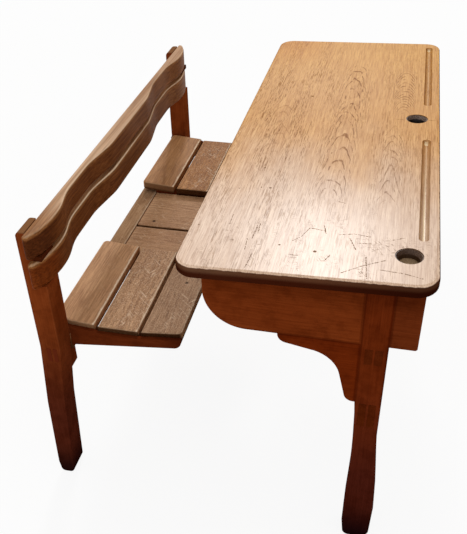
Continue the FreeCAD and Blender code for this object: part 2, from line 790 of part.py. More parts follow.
def seat_bearer(label, side):
    """Outer bearer, lapped on the post's inner face, rebated for the slats' ends.

    The rear rail passes through it.
    """
    bed_back = SEAT_LINE[-1][1]
    outline = [
        ("-post_back", HAUNCH_BOTTOM),
        ("-haunch_front", HAUNCH_BOTTOM),
        ("-haunch_front", BEARER_ROOT),
        (SEAT_FRONT, BEARER_TOE),
        *((place, f"{height} + bearer_lip_rise") for place, height in SEAT_LINE),
        ("-post_back", f"{bed_back} + bearer_lip_rise"),
    ]
    low, high = span(side, f"({POST_IN} - bearer_thickness)", POST_IN)
    body = board(label, outline, low, high, {2: "haunch_radius", 3: "bearer_toe_radius"})
    hole = rectangle("-bench_rail_back - tenon_play", f"{BENCH_RAIL_FRONT} + tenon_play",
                     f"{BRIDGE_TOP} - bench_rail_height - tenon_play", f"{BRIDGE_TOP} + tenon_play")
    cut_through(body, [hole], low, high)
    ahead, behind = f"{SEAT_FRONT} + cut_overrun", "-post_back - cut_overrun"
    above = seat_height("front_slat_front_rise")
    rebate = [(ahead, SEAT_LINE[0][1]), *SEAT_LINE, (behind, bed_back), (behind, above), (ahead, above)]
    cut_along(body, [rebate], *span(side, f"({POST_IN} - bearer_thickness - cut_overrun)", SLAT_END))


def inner_bearer(label, side):
    """Inner bearer, butted to the rear rail and fixed to the edge of the bridge."""
    fall = f"({BENCH_RAIL_FRONT} + seat_back) * {BACK_SLOPE}"
    back_line = f"({SEAT_BACK_TOP} - slat_thickness + {fall})"
    outline = [
        (BENCH_RAIL_FRONT, BEARER_ROOT),
        (SEAT_FRONT, BEARER_TOE),
        *SEAT_LINE[:-1],
        (BENCH_RAIL_FRONT, back_line),
    ]
    low, high = span(side, BRIDGE_EDGE, f"({BRIDGE_EDGE} + bearer_thickness)")
    board(label, outline, low, high, {1: "inner_toe_radius"})


for name, side in SIDES.items():
    for place, sizes in SLATS.items():
        seat_slat(f"seat_slat_{place}_{name}", side, ROUNDED_EDGES.get(place), *sizes)
    seat_bearer(f"seat_bearer_{name}", side)
    inner_bearer(f"inner_bearer_{name}", side)


# Backrest rails: straight behind, with a hollow in front for each pupil's back.
def backrest_rail(label, bottom, height, heights):
    def along(inset):
        return f"({RAIL_OUT} - {inset})"

    half = [
        ("-rail_back", RAIL_OUT),
        ("-rail_end", RAIL_OUT),
        ("-rail_cheek", along("rail_cheek_start")),
        ("-rail_lobe", along("rail_lobe_start")),
        ("-rail_lobe", along("rail_lobe_end")),
        ("-rail_hollow", along("rail_hollow_start")),
        ("-rail_hollow", along("rail_hollow_end")),
        ("-rail_middle", along("rail_middle_start")),
    ]
    outline = [(x, f"-{y}") for x, y in half] + half[::-1]
    last = len(outline) - 1
    radii = {0: "rail_end_radius", 1: "rail_end_radius", 2: "rail_cheek_radius"}
    radii.update({number: "rail_wave_radius" for number in range(3, len(half))})
    radii.update({last - number: radius for number, radius in list(radii.items())})
    body = flat_board(label, outline, bottom, height, radii)
    screw_holes(body, "-rail_back", "screw_grip + screw_play",
                [(side, place) for side in SIDES.values() for place in heights])
    return body


def soften_rail(body):
    """Round the long arrises of a rail."""
    for direction in (1, -1):
        fillet(body, "rail_edge_radius", face_rim(body, FreeCAD.Vector(0, 0, direction)))


soften_rail(backrest_rail("backrest_upper_rail", UPPER_RAIL, "upper_rail_height", SCREW_HEIGHTS[:2]))
soften_rail(backrest_rail("backrest_lower_rail", LOWER_RAIL, "lower_rail_height", SCREW_HEIGHTS[2:]))


# Round-headed screws, one group: a shank and a domed head on the back of the post.
def backrest_screw(number, side, height):
    shank = doc.addObject("Part::Cylinder", f"screw_shank_{number}")
    bind(shank, "Radius", "screw_diameter / 2")
    bind(shank, "Height", "post_back - rail_back + screw_grip")
    head = doc.addObject("Part::Sphere", f"screw_head_{number}")
    bind(head, "Radius", "screw_head_radius")
    head.Angle2 = 0
    for piece in (shank, head):
        piece.Placement.Rotation = FreeCAD.Rotation(FreeCAD.Vector(0, 0, 1), FreeCAD.Vector(1, 0, 0))
        bind(piece, "Placement.Base.x", f"{MIDDLE_SHIFT} - post_back")
        bind(piece, "Placement.Base.y", f"{side} * {POST_MID}")
        bind(piece, "Placement.Base.z", height)
    screw = doc.addObject("Part::Fuse", f"screw_{number}")
    screw.Base, screw.Tool = shank, head
    return screw


screws = doc.addObject("Part::Compound", "backrest_screws")
screws.Label = "backrest_screws"
screw_places = [(side, height) for side in SIDES.values() for height in SCREW_HEIGHTS]
screws.Links = [backrest_screw(number, *place) for number, place in enumerate(screw_places)]
parts.append(screws)
doc.recompute()


# Every object has to be sound before anything is written.
for item in doc.Objects:
    if {"Invalid", "Error"} & set(item.State):
        raise RuntimeError(f"{item.Label} failed: {item.State}")
for part in parts:
    if part.Shape.isNull() or not part.Shape.isValid():
        raise RuntimeError(f"{part.Label} has no valid shape")

os.makedirs("parts", exist_ok=True)
for part in parts:
    part.Shape.exportStep(os.path.join("parts", part.Label + ".step"))
    box = part.Shape.BoundBox
    spans = " x ".join(f"{length:.1f}" for length in (box.XLength, box.YLength, box.ZLength))
    print(f"{part.Label}: {len(part.Shape.Solids)} solid, {spans}")
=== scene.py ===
# %% [markdown]
# # An old oak school desk with its bench
# The solids of the desk come ready made and measured. This lesson dresses them: it sets up the
# camera and the light, builds oak and glaze out of procedural nodes, and adds the marks that years
# of lessons leave behind. All lengths are in metres, +Z is up, +X runs from the bench to the desk
# and +Y from the near end to the far end.

# %% Load the desk
import math
import random

import bpy
from mathutils import Matrix, Vector


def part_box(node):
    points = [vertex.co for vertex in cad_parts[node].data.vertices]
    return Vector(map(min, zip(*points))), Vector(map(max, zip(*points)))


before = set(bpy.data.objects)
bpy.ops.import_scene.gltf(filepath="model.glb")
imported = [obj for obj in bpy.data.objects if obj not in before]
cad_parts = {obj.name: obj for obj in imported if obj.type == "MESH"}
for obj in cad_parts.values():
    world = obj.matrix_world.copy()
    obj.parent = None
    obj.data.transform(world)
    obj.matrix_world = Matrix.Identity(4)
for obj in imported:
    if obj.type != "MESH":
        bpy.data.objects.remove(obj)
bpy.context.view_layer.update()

# %% [markdown]
# ## Camera
# The picture was taken standing at one end of the desk, looking down along its length. A camera
# could be aimed by eye, but the desk's own straight edges and right angles fix it better: they give
# a place, three angles and a focal length, which are written down here. The lens shift moves the
# picture's middle a little, because the picture was cropped.

# %% Camera
PICTURE = (467, 534)
FOCAL_PIXELS = 740.0
MIDDLE_PIXEL = (239.17, 274.5)
YAW, PITCH, ROLL = (math.radians(angle) for angle in (-12.803, 36.178, 0.996))
EYE = Vector((0.28667, -1.53861, 1.41183))

ahead = Vector((math.sin(YAW) * math.cos(PITCH), math.cos(YAW) * math.cos(PITCH), -math.sin(PITCH)))
level = Vector((math.cos(YAW), -math.sin(YAW), 0))
down = ahead.cross(level)
right = math.cos(ROLL) * level + math.sin(ROLL) * down
below = math.cos(ROLL) * down - math.sin(ROLL) * level

lens = bpy.data.cameras.new("camera")
lens.sensor_width = 36
lens.lens = FOCAL_PIXELS * lens.sensor_width / max(PICTURE)
lens.shift_x = -(MIDDLE_PIXEL[0] - PICTURE[0] / 2) / max(PICTURE)
lens.shift_y = (MIDDLE_PIXEL[1] - PICTURE[1] / 2) / max(PICTURE)
camera = bpy.data.objects.new("camera", lens)
turn = Matrix((right, -below, -ahead)).transposed().to_4x4()
camera.matrix_world = Matrix.Translation(EYE) @ turn
bpy.context.collection.objects.link(camera)
bpy.context.scene.camera = camera
bpy.context.scene.view_settings.view_transform = "Standard"
print("lens:", round(lens.lens, 2), "mm")

# %% [markdown]
# ## A small helper for node trees
# Every finish below is a tree of nodes. Such a tree can be drawn by hand in the Shader Editor, but
# thirty boards need thirty of them. Written out socket by socket they are hard to read, so this
# helper adds one node per call and takes numbers, colours or other nodes' outputs alike.


# %% Node helper
class Graph:
    """Adds nodes to a tree. An input may be a number, a tuple or another node's output."""

    def __init__(self, tree):
        self.tree = tree

    def node(self, kind, inputs=(), out=0, **settings):
        made = self.tree.nodes.new("ShaderNode" + kind)
        for name, value in settings.items():
            setattr(made, name, value)
        for key, value in dict(inputs).items():
            self.feed(made.inputs[key], value)
        return made.outputs[out]

    def feed(self, socket, value):
        if isinstance(value, bpy.types.NodeSocket):
            self.tree.links.new(value, socket)
        else:
            socket.default_value = value

    def group(self, tree, **inputs):
        made = self.tree.nodes.new("ShaderNodeGroup")
        made.node_tree = tree
        for key, value in inputs.items():
            self.feed(made.inputs[key.replace("_", " ")], value)
        return made.outputs

    def place(self):
        """Where a point of the piece is, in metres."""
        return self.node("TexCoord", out="Object")

    def math(self, operation, *values, clamp=False):
        return self.node("Math", dict(enumerate(values)), operation=operation, use_clamp=clamp)

    def chain(self, operation, first, others):
        for other in others:
            first = self.math(operation, first, other)
        return first

    def product(self, first, *others):
        return self.chain("MULTIPLY", first, others)

    def most(self, first, *others):
        return self.chain("MAXIMUM", first, others)

    def least(self, first, *others):
        return self.chain("MINIMUM", first, others)

    def plus(self, first, second):
        return self.math("ADD", first, second)

    def minus(self, first, second):
        return self.math("SUBTRACT", first, second)

    def over(self, first, second, clamp=False):
        return self.math("DIVIDE", first, second, clamp=clamp)

    def size(self, value):
        return self.math("ABSOLUTE", value)

    def wave(self, phase):
        return self.math("SINE", self.product(phase, math.tau))

    def vector(self, operation, *values, out=0):
        return self.node("VectorMath", dict(enumerate(values)), out=out, operation=operation)

    def scaled(self, vector, factors):
        return self.vector("MULTIPLY", vector, factors)

    def distance(self, first, second):
        return self.vector("DISTANCE", first, second, out=1)

    def split(self, vector):
        made = self.tree.nodes.new("ShaderNodeSeparateXYZ")
        self.feed(made.inputs[0], vector)
        return tuple(made.outputs)

    def join(self, x, y, z):
        return self.node("CombineXYZ", {0: x, 1: y, 2: z})

    def ramp(self, value, low, high, start=0.0, end=1.0):
        """A soft step from start to end while the value goes from low to high."""
        inputs = {"Value": value, "From Min": low, "From Max": high, "To Min": start, "To Max": end}
        return self.node("MapRange", inputs, interpolation_type="SMOOTHSTEP")

    def fade(self, value, low, high, start=1.0):
        """A soft step down to nothing while the value goes from low to high."""
        return self.ramp(value, low, high, start, 0.0)

    def noise(self, vector, scale=1.0, detail=2.0, roughness=0.5):
        inputs = {"Vector": vector, "Scale": scale, "Detail": detail, "Roughness": roughness}
        return self.node("TexNoise", inputs)

    def stretched(self, point, across, along, *rest, **settings):
        """Noise with so many changes per metre across the grain and along it."""
        return self.noise(self.scaled(point, (across, along, across)), *rest, **settings)

    def swing(self, noise, amount):
        """Noise lies about a half; this makes it swing about zero."""
        return self.product(self.minus(noise, 0.5), amount)

    def mix(self, factor, first, second, blend="MIX"):
        inputs = {0: factor, 6: first, 7: second}
        return self.node("Mix", inputs, out=2, data_type="RGBA", blend_type=blend)

    def stain(self, factor, tone, tint):
        """Multiply a tone by a tint, as far as the factor says."""
        return self.mix(factor, tone, (*tint, 1), "MULTIPLY")


print("helper ready:", Graph.__name__)

# %% [markdown]
# ## Groups
# Grain, edges and scratches appear in many finishes. Their nodes could be copied into each of them,
# but then a change would have to be made in each as well. A node group is built once, with named
# sockets, and placed wherever it is needed with its own values.


# %% Group helper
def new_group(name, inputs, outputs):
    """An empty node group with named sockets, and the helper, inputs and output node to fill it."""
    tree = bpy.data.node_groups.new(name, "ShaderNodeTree")
    for label, value in inputs.items():
        kind = "NodeSocketVector" if isinstance(value, tuple) else "NodeSocketFloat"
        tree.interface.new_socket(label, in_out="INPUT", socket_type=kind).default_value = value
    for label in outputs:
        kind = "NodeSocketVector" if label == "Place" else "NodeSocketFloat"
        tree.interface.new_socket(label, in_out="OUTPUT", socket_type=kind)
    entry = tree.nodes.new("NodeGroupInput")
    leave = tree.nodes.new("NodeGroupOutput")
    return tree, Graph(tree), entry.outputs, leave.inputs


print("helper ready:", new_group.__name__)

# %% [markdown]
# ## Oak
# Oak shows three things: broad growth rings, which make flames where the saw ran nearly along them;
# fine fibres; and open pores, which look like short dark dashes. A photograph of wood would show one
# board only, and the same on every piece, so the grain is worked out from noise, stretched along Y.
# The rings are circles round the heart of the tree, which lies below the board and leans a little,
# so that they surface as long arches.

# %% Oak grain group
ORIGIN = (0.0, 0.0, 0.0)

oak_grain, g, entry, leave = new_group(
    "oak grain",
    {"Point": ORIGIN, "Heart": (0.0, 0.0, -0.05), "Lean": 0.05, "Ring": 0.007, "Sway": 0.02,
     "Fine": 1.0},
    ["Rings", "Fibres", "Streaks", "Pores", "Cloud"],
)
point = entry["Point"]
sway = g.swing(g.stretched(point, 9.0, 5.0, detail=3.0), entry["Sway"])
x, y, z = g.split(g.vector("SUBTRACT", point, entry["Heart"]))
across = g.plus(x, sway)
deep = g.plus(g.plus(z, sway), g.product(y, entry["Lean"]))
from_heart = g.math("SQRT", g.plus(g.product(across, across), g.product(deep, deep)))
rings = g.ramp(g.wave(g.over(from_heart, entry["Ring"])), 0.0, 1.0)
patchy = g.ramp(g.stretched(point, 16.0, 7.0), 0.38, 0.62)
dashes = g.stretched(point, 520.0, 50.0, entry["Fine"], detail=1.0)
g.feed(leave["Rings"], g.product(rings, patchy))
g.feed(leave["Fibres"], g.stretched(point, 420.0, 12.0, detail=3.0, roughness=0.6))
g.feed(leave["Streaks"], g.stretched(point, 95.0, 2.5))
g.feed(leave["Pores"], g.ramp(dashes, 0.61, 0.73))
g.feed(leave["Cloud"], g.stretched(point, 8.0, 4.0, detail=3.0))
print("group:", oak_grain.name)

# %% [markdown]
# ## Stacked arches
# On a broad board the rings also surface as a column of short arches, one above the other. The same
# rings could be bent until they do so, but their number and place would be hard to steer. Here the
# column is drawn as such: a wave along the board whose crests curl back at both sides, broken into
# short strokes by a noise.

# %% Arches group
ARCH_CURL = 2.6

arches, g, entry, leave = new_group(
    "arches",
    {"Point": ORIGIN, "Middle": 0.0, "Spread": 0.03, "Step": 0.06, "Drift": 3.0},
    ["Mark"],
)
point = entry["Point"]
x, y, _ = g.split(point)
side = g.over(g.minus(x, entry["Middle"]), entry["Spread"])
bend = g.product(g.stretched(point, 20.0, 8.0, detail=3.0, roughness=0.45), entry["Drift"])
curl = g.plus(g.product(side, side, ARCH_CURL), bend)
strokes = g.ramp(g.wave(g.plus(g.over(y, entry["Step"]), curl)), 0.76, 0.97)
column = g.fade(g.size(side), 0.6, 1.4)
patchy = g.ramp(g.stretched(point, 70.0, 40.0), 0.40, 0.56)
g.feed(leave["Mark"], g.product(strokes, column, patchy))
print("group:", arches.name)

# %% [markdown]
# ## Where a board is worn
# Hands, sleeves and knees rub varnish off the edges first. Blender can find edges by itself, with a
# Bevel node or with Pointiness, but the first is slow and the second needs an even mesh. For a board
# it is enough to know its middle, its half sizes and its slope: a point is near an edge where its
# second smallest distance to the board's faces is small. That is a rule on coordinates, so it looks
# the same from every side.

# %% Board space and edge groups
THINNEST_WEAR = 0.0004

board_space, g, entry, leave = new_group(
    "board space", {"Point": ORIGIN, "Middle": ORIGIN, "Slope": 0.0}, ["Place"]
)
x, y, z = g.split(g.vector("SUBTRACT", entry["Point"], entry["Middle"]))
g.feed(leave["Place"], g.join(x, y, g.minus(z, g.product(x, entry["Slope"]))))

board_edges, g, entry, leave = new_group(
    "board edges",
    {"Point": ORIGIN, "Half size": (1.0, 1.0, 1.0), "Width": 0.006, "Ragged": 2.0},
    ["Edge", "Sides", "Ends", "Below"],
)
point, half = entry["Point"], entry["Half size"]
a, b, c = g.split(g.vector("SUBTRACT", half, g.vector("ABSOLUTE", point)))
second = g.most(g.least(a, b), g.least(g.most(a, b), c))
bite = g.swing(g.noise(point, 55.0, 4.0, 0.65), entry["Ragged"])
reach = g.most(g.product(entry["Width"], g.plus(bite, 1.0)), THINNEST_WEAR)
for label, gap in (("Edge", second), ("Sides", a), ("Ends", b)):
    g.feed(leave[label], g.fade(g.over(gap, reach), 0.25, 1.0))
g.feed(leave["Below"], g.minus(g.split(half)[2], g.split(point)[2]))
print("groups:", board_space.name, board_edges.name)

# %% [markdown]
# ## Scratches, dents and scuffs
# A scratch could be cut into the mesh, but it is far finer than the mesh is. It is a straight line
# with a start and a run, so one group measures how far a point is from that line, and a wandering
# stray makes its border uneven. Scuffs are many faint scratches at once: a fine noise stretched in
# one direction, of which only the peaks are kept.

# %% Scratch and scuff groups
scratch, g, entry, leave = new_group(
    "scratch",
    {"Flat": ORIGIN, "Stray": 0.0, "Start": ORIGIN, "Run": (0.01, 0.0, 0.0), "Squared": 0.1},
    ["Gap"],
)
offset = g.vector("SUBTRACT", entry["Flat"], entry["Start"])
along = g.vector("DOT_PRODUCT", offset, entry["Run"], out=1)
share = g.over(along, entry["Squared"], clamp=True)
nearest = g.node("VectorMath", {0: entry["Run"], "Scale": share}, operation="SCALE")
g.feed(leave["Gap"], g.plus(g.distance(offset, nearest), entry["Stray"]))

scuffs, g, entry, leave = new_group(
    "scuffs", {"Point": ORIGIN, "Angle": 0.6, "Fine": 1.0}, ["Mark"]
)
point = entry["Point"]
turned = g.node("VectorRotate", {"Vector": point, "Angle": entry["Angle"]}, rotation_type="Z_AXIS")
lines = g.stretched(turned, 520.0, 60.0, entry["Fine"], detail=1.0)
where = g.ramp(g.stretched(point, 26.0, 14.0, detail=3.0), 0.48, 0.66)
g.feed(leave["Mark"], g.product(g.ramp(lines, 0.60, 0.70), where))
print("groups:", scratch.name, scuffs.name)

# %% [markdown]
# ## Layers of a finish
# Old furniture gets its look in layers: wood, varnish, stains, then wear. A finish is built up the
# same way, as a tone that is stained or covered step by step. Colours are written in everyday
# screen values and turned into the linear values that light works with.


# %% Finish
def screen(red, green, blue):
    """A colour given as it looks on screen, from 0 to 255, in linear values."""
    def linear(part):
        part /= 255
        return part / 12.92 if part <= 0.04045 else ((part + 0.055) / 1.055) ** 2.4
    return (linear(red), linear(green), linear(blue), 1.0)


class Finish:
    """A material in the making: its nodes, its shader and the tone that is built up so far."""

    def __init__(self, name):
        self.material = bpy.data.materials.new(name)
        self.material.use_nodes = True
        self.g = Graph(self.material.node_tree)
        self.shader = self.material.node_tree.nodes["Principled BSDF"]
        self.tone = None

    def stain(self, factor, tint):
        """Multiply the tone by a tint, as far as the factor says."""
        self.tone = self.g.stain(factor, self.tone, tint)

    def cover(self, factor, colour):
        """Lay a colour over the tone, as far as the factor says."""
        self.tone = self.g.mix(factor, self.tone, colour)

    def surface(self, **inputs):
        """Set or feed inputs of the shader."""
        for key, value in inputs.items():
            self.g.feed(self.shader.inputs[key.replace("_", " ")], value)

    def relief(self, height, strength, distance):
        """Light and shade of a height that is too fine to model."""
        inputs = {"Height": height, "Strength": strength, "Distance": distance}
        self.surface(Normal=self.g.node("Bump", inputs))

    def dress(self, node):
        """Put the finish on a piece of the desk."""
        self.surface(Base_Color=self.tone)
        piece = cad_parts[node]
        piece.data.materials.clear()
        piece.data.materials.append(self.material)


print("white in linear values:", screen(255, 255, 255))

# %% [markdown]
# ## A board of oak
# No two boards of the desk show the same grain, so each gets its own copy of the finish, moved to
# another place in the tree by random numbers that its name seeds. The grain runs along the board's
# length, so the point is turned until its Y lies that way. Unwrapping each board would do this too,
# but coordinates need no unwrapping and keep the grain at its real size.

# %% Oak board
TURNS = {"x": (1, 0, 2), "y": (0, 1, 2), "z": (0, 2, 1)}
RING, STREAK = (0.45, 0.34, 0.28), (0.72, 0.64, 0.58)
CLOUD, PORE = (0.66, 0.58, 0.52), (0.34, 0.26, 0.22)
PLAIN = (1.0, 1.0, 1.0)
GRAIN_DEPTH = 0.0006


class Board(Finish):
    """An oak board with its grain, its edges and its first tone, mixed from a dark and a light."""

    def __init__(self, node, along, tones, rings, pores, streak, slope=0.0, edge=0.005):
        super().__init__(f"{node} oak")
        g, rng = self.g, random.Random(node)
        low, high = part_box(node)
        middle, half = (low + high) / 2, (high - low) / 2
        half.z -= abs(slope) * half.x
        self.node, self.place = node, g.place()
        self.point = g.group(board_space, Point=self.place, Middle=middle, Slope=slope)["Place"]
        parts = g.split(self.point)
        turned = g.join(*(parts[index] for index in TURNS[along]))
        self.moved = g.vector("ADD", turned, tuple(rng.uniform(-4, 4) for _ in range(3)))
        heart = (rng.uniform(-0.03, 0.03), 0.0, rng.choice((-0.05, 0.05)))
        grain = g.group(oak_grain, Point=turned, Heart=heart, Lean=rng.uniform(0.03, 0.09))
        self.look = g.group(oak_grain, Point=self.moved)
        self.rim = g.group(board_edges, Point=self.point, Half_size=half, Width=edge)
        self.tone = g.mix(g.ramp(self.look["Fibres"], 0.28, 0.74), *tones)
        self.stain(g.product(grain["Rings"], rings), RING)
        self.stain(g.ramp(self.look["Streaks"], 0.35, 0.7, 0.0, streak), STREAK)
        self.stain(g.ramp(self.look["Cloud"], 0.35, 0.65, 0.0, 0.5), CLOUD)
        self.stain(g.product(self.look["Pores"], pores), PORE)

    def finish(self, gloss, shine=0.0, relief=0.35, coat=None):
        """Join the gloss and the relief to the shader and dress the piece."""
        g, look = self.g, self.look
        if coat is not None:
            self.surface(Coat_Weight=coat, Coat_Roughness=gloss)
        uneven = g.ramp(look["Cloud"], 0.25, 0.75, gloss - 0.08, gloss + 0.1)
        self.surface(Roughness=uneven, Specular_IOR_Level=shine)
        self.relief(g.minus(g.product(look["Fibres"], 0.5), look["Pores"]), relief, GRAIN_DEPTH)
        self.dress(self.node)


def joint_lines(board, seams, width):
    """A mask of thin lines where a coordinate is close to a joint."""
    g = board.g
    parts = dict(zip("xyz", g.split(board.place)))
    total = 0.0
    for axis, position in seams:
        gap = g.size(g.minus(parts[axis], position))
        total = g.most(total, g.fade(gap, width * 0.3, width))
    return total


print("grain turns:", TURNS)

# %% [markdown]
# ## Varnished oak for the frame
# The box, the legs, the posts and the bearers kept their brown varnish. Dirt gathers in the joints
# beside the box and its brackets, so a thin dark line follows them. Painted shade darkens the boards
# under the overhang of the top and the posts between the backrest rails, and the feet go nearly
# black towards the floor. All this could be painted by hand, but the frame is square and measured,
# so ramps on its coordinates find the same places.

# %% Varnish
LEG_FRONT, LEG_REAR, BOX_BOTTOM = ("x", 0.27675), ("x", 0.32575), ("z", 0.548)
BRACKET_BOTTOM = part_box("leg_bracket_near")[0].z
SEAM_WIDTH = 0.0045
VARNISH = (screen(125, 54, 20), screen(139, 64, 26))
VARNISH_WORN, BARE_HEAD = screen(158, 84, 42), screen(134, 92, 60)
MOTTLE, JOINT, OVERHANG_SHADE = (0.74, 0.68, 0.64), (0.6, 0.5, 0.45), (0.62, 0.58, 0.56)
TOE, TENON_END, RAIL_SHADE = (0.58, 0.54, 0.62), (0.5, 0.44, 0.42), (0.32, 0.32, 0.4)
OVERHANG_HEIGHTS, FOOT_HEIGHTS, SOLE_HEIGHT = (0.605, 0.66), (0.17, 0.52), 0.12
TOE_LENGTH = 0.06
# Heights between which the backrest rails cast painted shade on the post, and how far forward that
# is.
SHADE_STARTS, SHADE_ENDS, SHADE_FRONT = (0.594, 0.61), (0.628, 0.644), (-0.352, -0.342)


def varnished(node, along, seams=(), tint=PLAIN, foot=(), end=None, toe=None, bare_and_shaded=False,
              shade=False):
    board = Board(node, along, VARNISH, rings=0.12, pores=0.15, streak=0.14, edge=0.0035)
    g = board.g
    x, y, z = g.split(board.place)
    board.cover(g.product(board.rim["Edge"], 0.15), VARNISH_WORN)
    board.stain(1.0, tint)
    mottle = g.noise(board.place, 34.0, 4.0, 0.6)
    board.stain(g.ramp(mottle, 0.42, 0.66, 0.0, 0.8), MOTTLE)
    if seams:
        beside = g.ramp(z, BRACKET_BOTTOM - 0.01, BRACKET_BOTTOM)
        board.stain(g.product(joint_lines(board, seams, SEAM_WIDTH), beside), JOINT)
    if shade:
        # Painted shade under the overhang of the top.
        board.stain(g.ramp(z, *OVERHANG_HEIGHTS, 0.0, 0.8), OVERHANG_SHADE)
    if foot:
        board.stain(g.fade(z, *FOOT_HEIGHTS, 0.97), foot[0])
        board.stain(g.fade(z, 0.0, SOLE_HEIGHT, 0.9), foot[1])
    if toe:
        board.stain(g.ramp(x, toe - TOE_LENGTH, toe), TOE)
    if end:
        board.stain(g.ramp(g.size(y), end - 0.0015, end - 0.0005), TENON_END)
    if bare_and_shaded:
        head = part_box(node)[1].z
        board.cover(g.ramp(z, head - 0.004, head - 0.001), BARE_HEAD)
        # Painted shade of the backrest rails on the post's front, between them.
        between = g.product(g.ramp(z, *SHADE_STARTS), g.fade(z, *SHADE_ENDS))
        board.stain(g.product(between, g.ramp(x, *SHADE_FRONT)), RAIL_SHADE)
    board.finish(gloss=0.45)


print("brackets reach down to:", round(BRACKET_BOTTOM, 4))

# %% [markdown]
# ## Dressing the frame
# Each kind of board has aged to its own brown, so it gets a tint. The pieces come in pairs, one at
# each end, so one loop dresses both. The ends of the lengthwise rails show as tenons in the legs;
# their end grain is darker.

# %% Frame boards
FRAME_OUT = 0.547
REAR_TINT, BRACKET_TINT, LEG_TINT = (0.76, 0.76, 0.9), (0.72, 0.53, 0.4), (0.76, 0.64, 0.62)
POST_TINT, BEARER_TINT = (1.02, 1.12, 1.25), (0.58, 0.56, 0.7)
# The tint of the whole foot, and the one close to the floor.
LEG_FOOT = ((0.42, 0.44, 1.2), (0.1, 0.2, 0.7))
POST_FOOT = ((0.37, 0.34, 0.74), (0.1, 0.14, 0.34))

for side in ("near", "far"):
    varnished(f"side_panel_{side}", "x", [LEG_FRONT, BOX_BOTTOM], shade=True)
    varnished(f"side_panel_rear_{side}", "x", [LEG_REAR], REAR_TINT, shade=True)
    varnished(f"leg_bracket_{side}", "x", [LEG_FRONT, BOX_BOTTOM], BRACKET_TINT)
    varnished(f"desk_leg_{side}", "z", [LEG_FRONT, LEG_REAR], LEG_TINT, LEG_FOOT, shade=True)
    varnished(f"bench_post_{side}", "z", tint=POST_TINT, foot=POST_FOOT, bare_and_shaded=True)
    for node in (f"seat_bearer_{side}", f"inner_bearer_{side}"):
        varnished(node, "x", tint=BEARER_TINT, toe=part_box(node)[1].x)
for node in ("upper_stretcher", "lower_stretcher", "book_shelf", "book_back"):
    varnished(node, "y", end=FRAME_OUT)
varnished("book_divider", "x")
print("frame boards dressed:", len(bpy.data.materials))

# %% [markdown]
# ## Worn oak for seats and bridge
# The flat boards at seat height have lost most of their varnish and show pale, rough oak. Their
# front edges are rubbed paler still, with a painted highlight along them. Their sides are brown,
# partly kept varnish and partly painted shade in the gaps between slats, painted shade darkens
# their undersides, and their ends are dark, partly with grime and partly with painted shade. The
# roughness could be sculpted, but it is finer than a millimetre, so noise stains it and lifts it in
# the relief. What varnish is left is a thin clear coat on the flat faces.

# %% Worn oak
SEAT = (screen(184, 134, 92), screen(220, 168, 120))
SEAT_WORN, SEAT_ARRIS_WEAR_AND_HIGHLIGHT = screen(240, 210, 178), screen(255, 228, 196)
TENON_RED = screen(100, 40, 20)
RIDGE, GRIT, UNDERSIDE_SHADE = (0.5, 0.43, 0.38), (0.52, 0.44, 0.40), (0.40, 0.32, 0.26)
SEAM, DENT = (0.3, 0.22, 0.17), (0.16, 0.12, 0.10)
BROWN_SIDES_AND_SHADE, END_GRIME_AND_SHADE = (0.66, 0.54, 0.44), (0.4, 0.38, 0.36)
SCUFF_ANGLES = (0.55, -0.8)
BRIDGE_SEAM_WIDTH = 0.005
COAT = 0.22


def weather(board, rough):
    """Ridges, grit and scuffs, as on wood that has lost its varnish."""
    g = board.g
    ridges = g.stretched(board.moved, 320.0, 60.0, detail=2.0, roughness=0.6)
    board.stain(g.ramp(ridges, 0.5, 0.66, 0.0, 0.15 + 0.35 * rough), RIDGE)
    grit = g.noise(board.place, 430.0)
    board.stain(g.ramp(grit, 0.5, 0.66, 0.0, 0.7 * rough), GRIT)
    board.cover(g.fade(grit, 0.34, 0.42, 0.45 * rough), SEAT_WORN)
    for angle in SCUFF_ANGLES:
        mark = g.group(scuffs, Point=board.point, Angle=angle, Fine=0.5)["Mark"]
        board.cover(g.product(mark, 0.75 * rough), SEAT_WORN)


def rub(board, wear_and_highlight, sides_and_shade, ends):
    """Pale front edge, worn and with a painted highlight; brown sides and dark ends, each partly
    real and partly painted shade; painted shade underneath. Gives back where no varnish is left.
    """
    g, rim = board.g, board.rim
    front = g.ramp(g.split(board.point)[0], -0.01, 0.01, 0.25, 1.0)
    # Painted highlight along the front arris, laid on with its wear.
    arris = g.product(rim["Sides"], g.product(front, g.fade(rim["Below"], 0.0008, 0.0022)))
    board.cover(g.product(rim["Ends"], 0.15 * wear_and_highlight), SEAT_WORN)
    board.cover(g.product(arris, wear_and_highlight), SEAT_ARRIS_WEAR_AND_HIGHLIGHT)
    # Sides: kept brown varnish and painted shade in the gaps between slats.
    low_down = g.ramp(rim["Below"], 0.0018, 0.004)
    board.stain(low_down, sides_and_shade)
    # Painted shade on the undersides.
    board.stain(g.ramp(rim["Below"], 0.012, 0.018), UNDERSIDE_SHADE)
    # Dark ends: grime and painted shade.
    end_face = g.product(g.ramp(rim["Below"], 0.0006, 0.0026), rim["Ends"])
    board.stain(end_face, ends)
    return g.most(low_down, end_face, rim["Sides"])


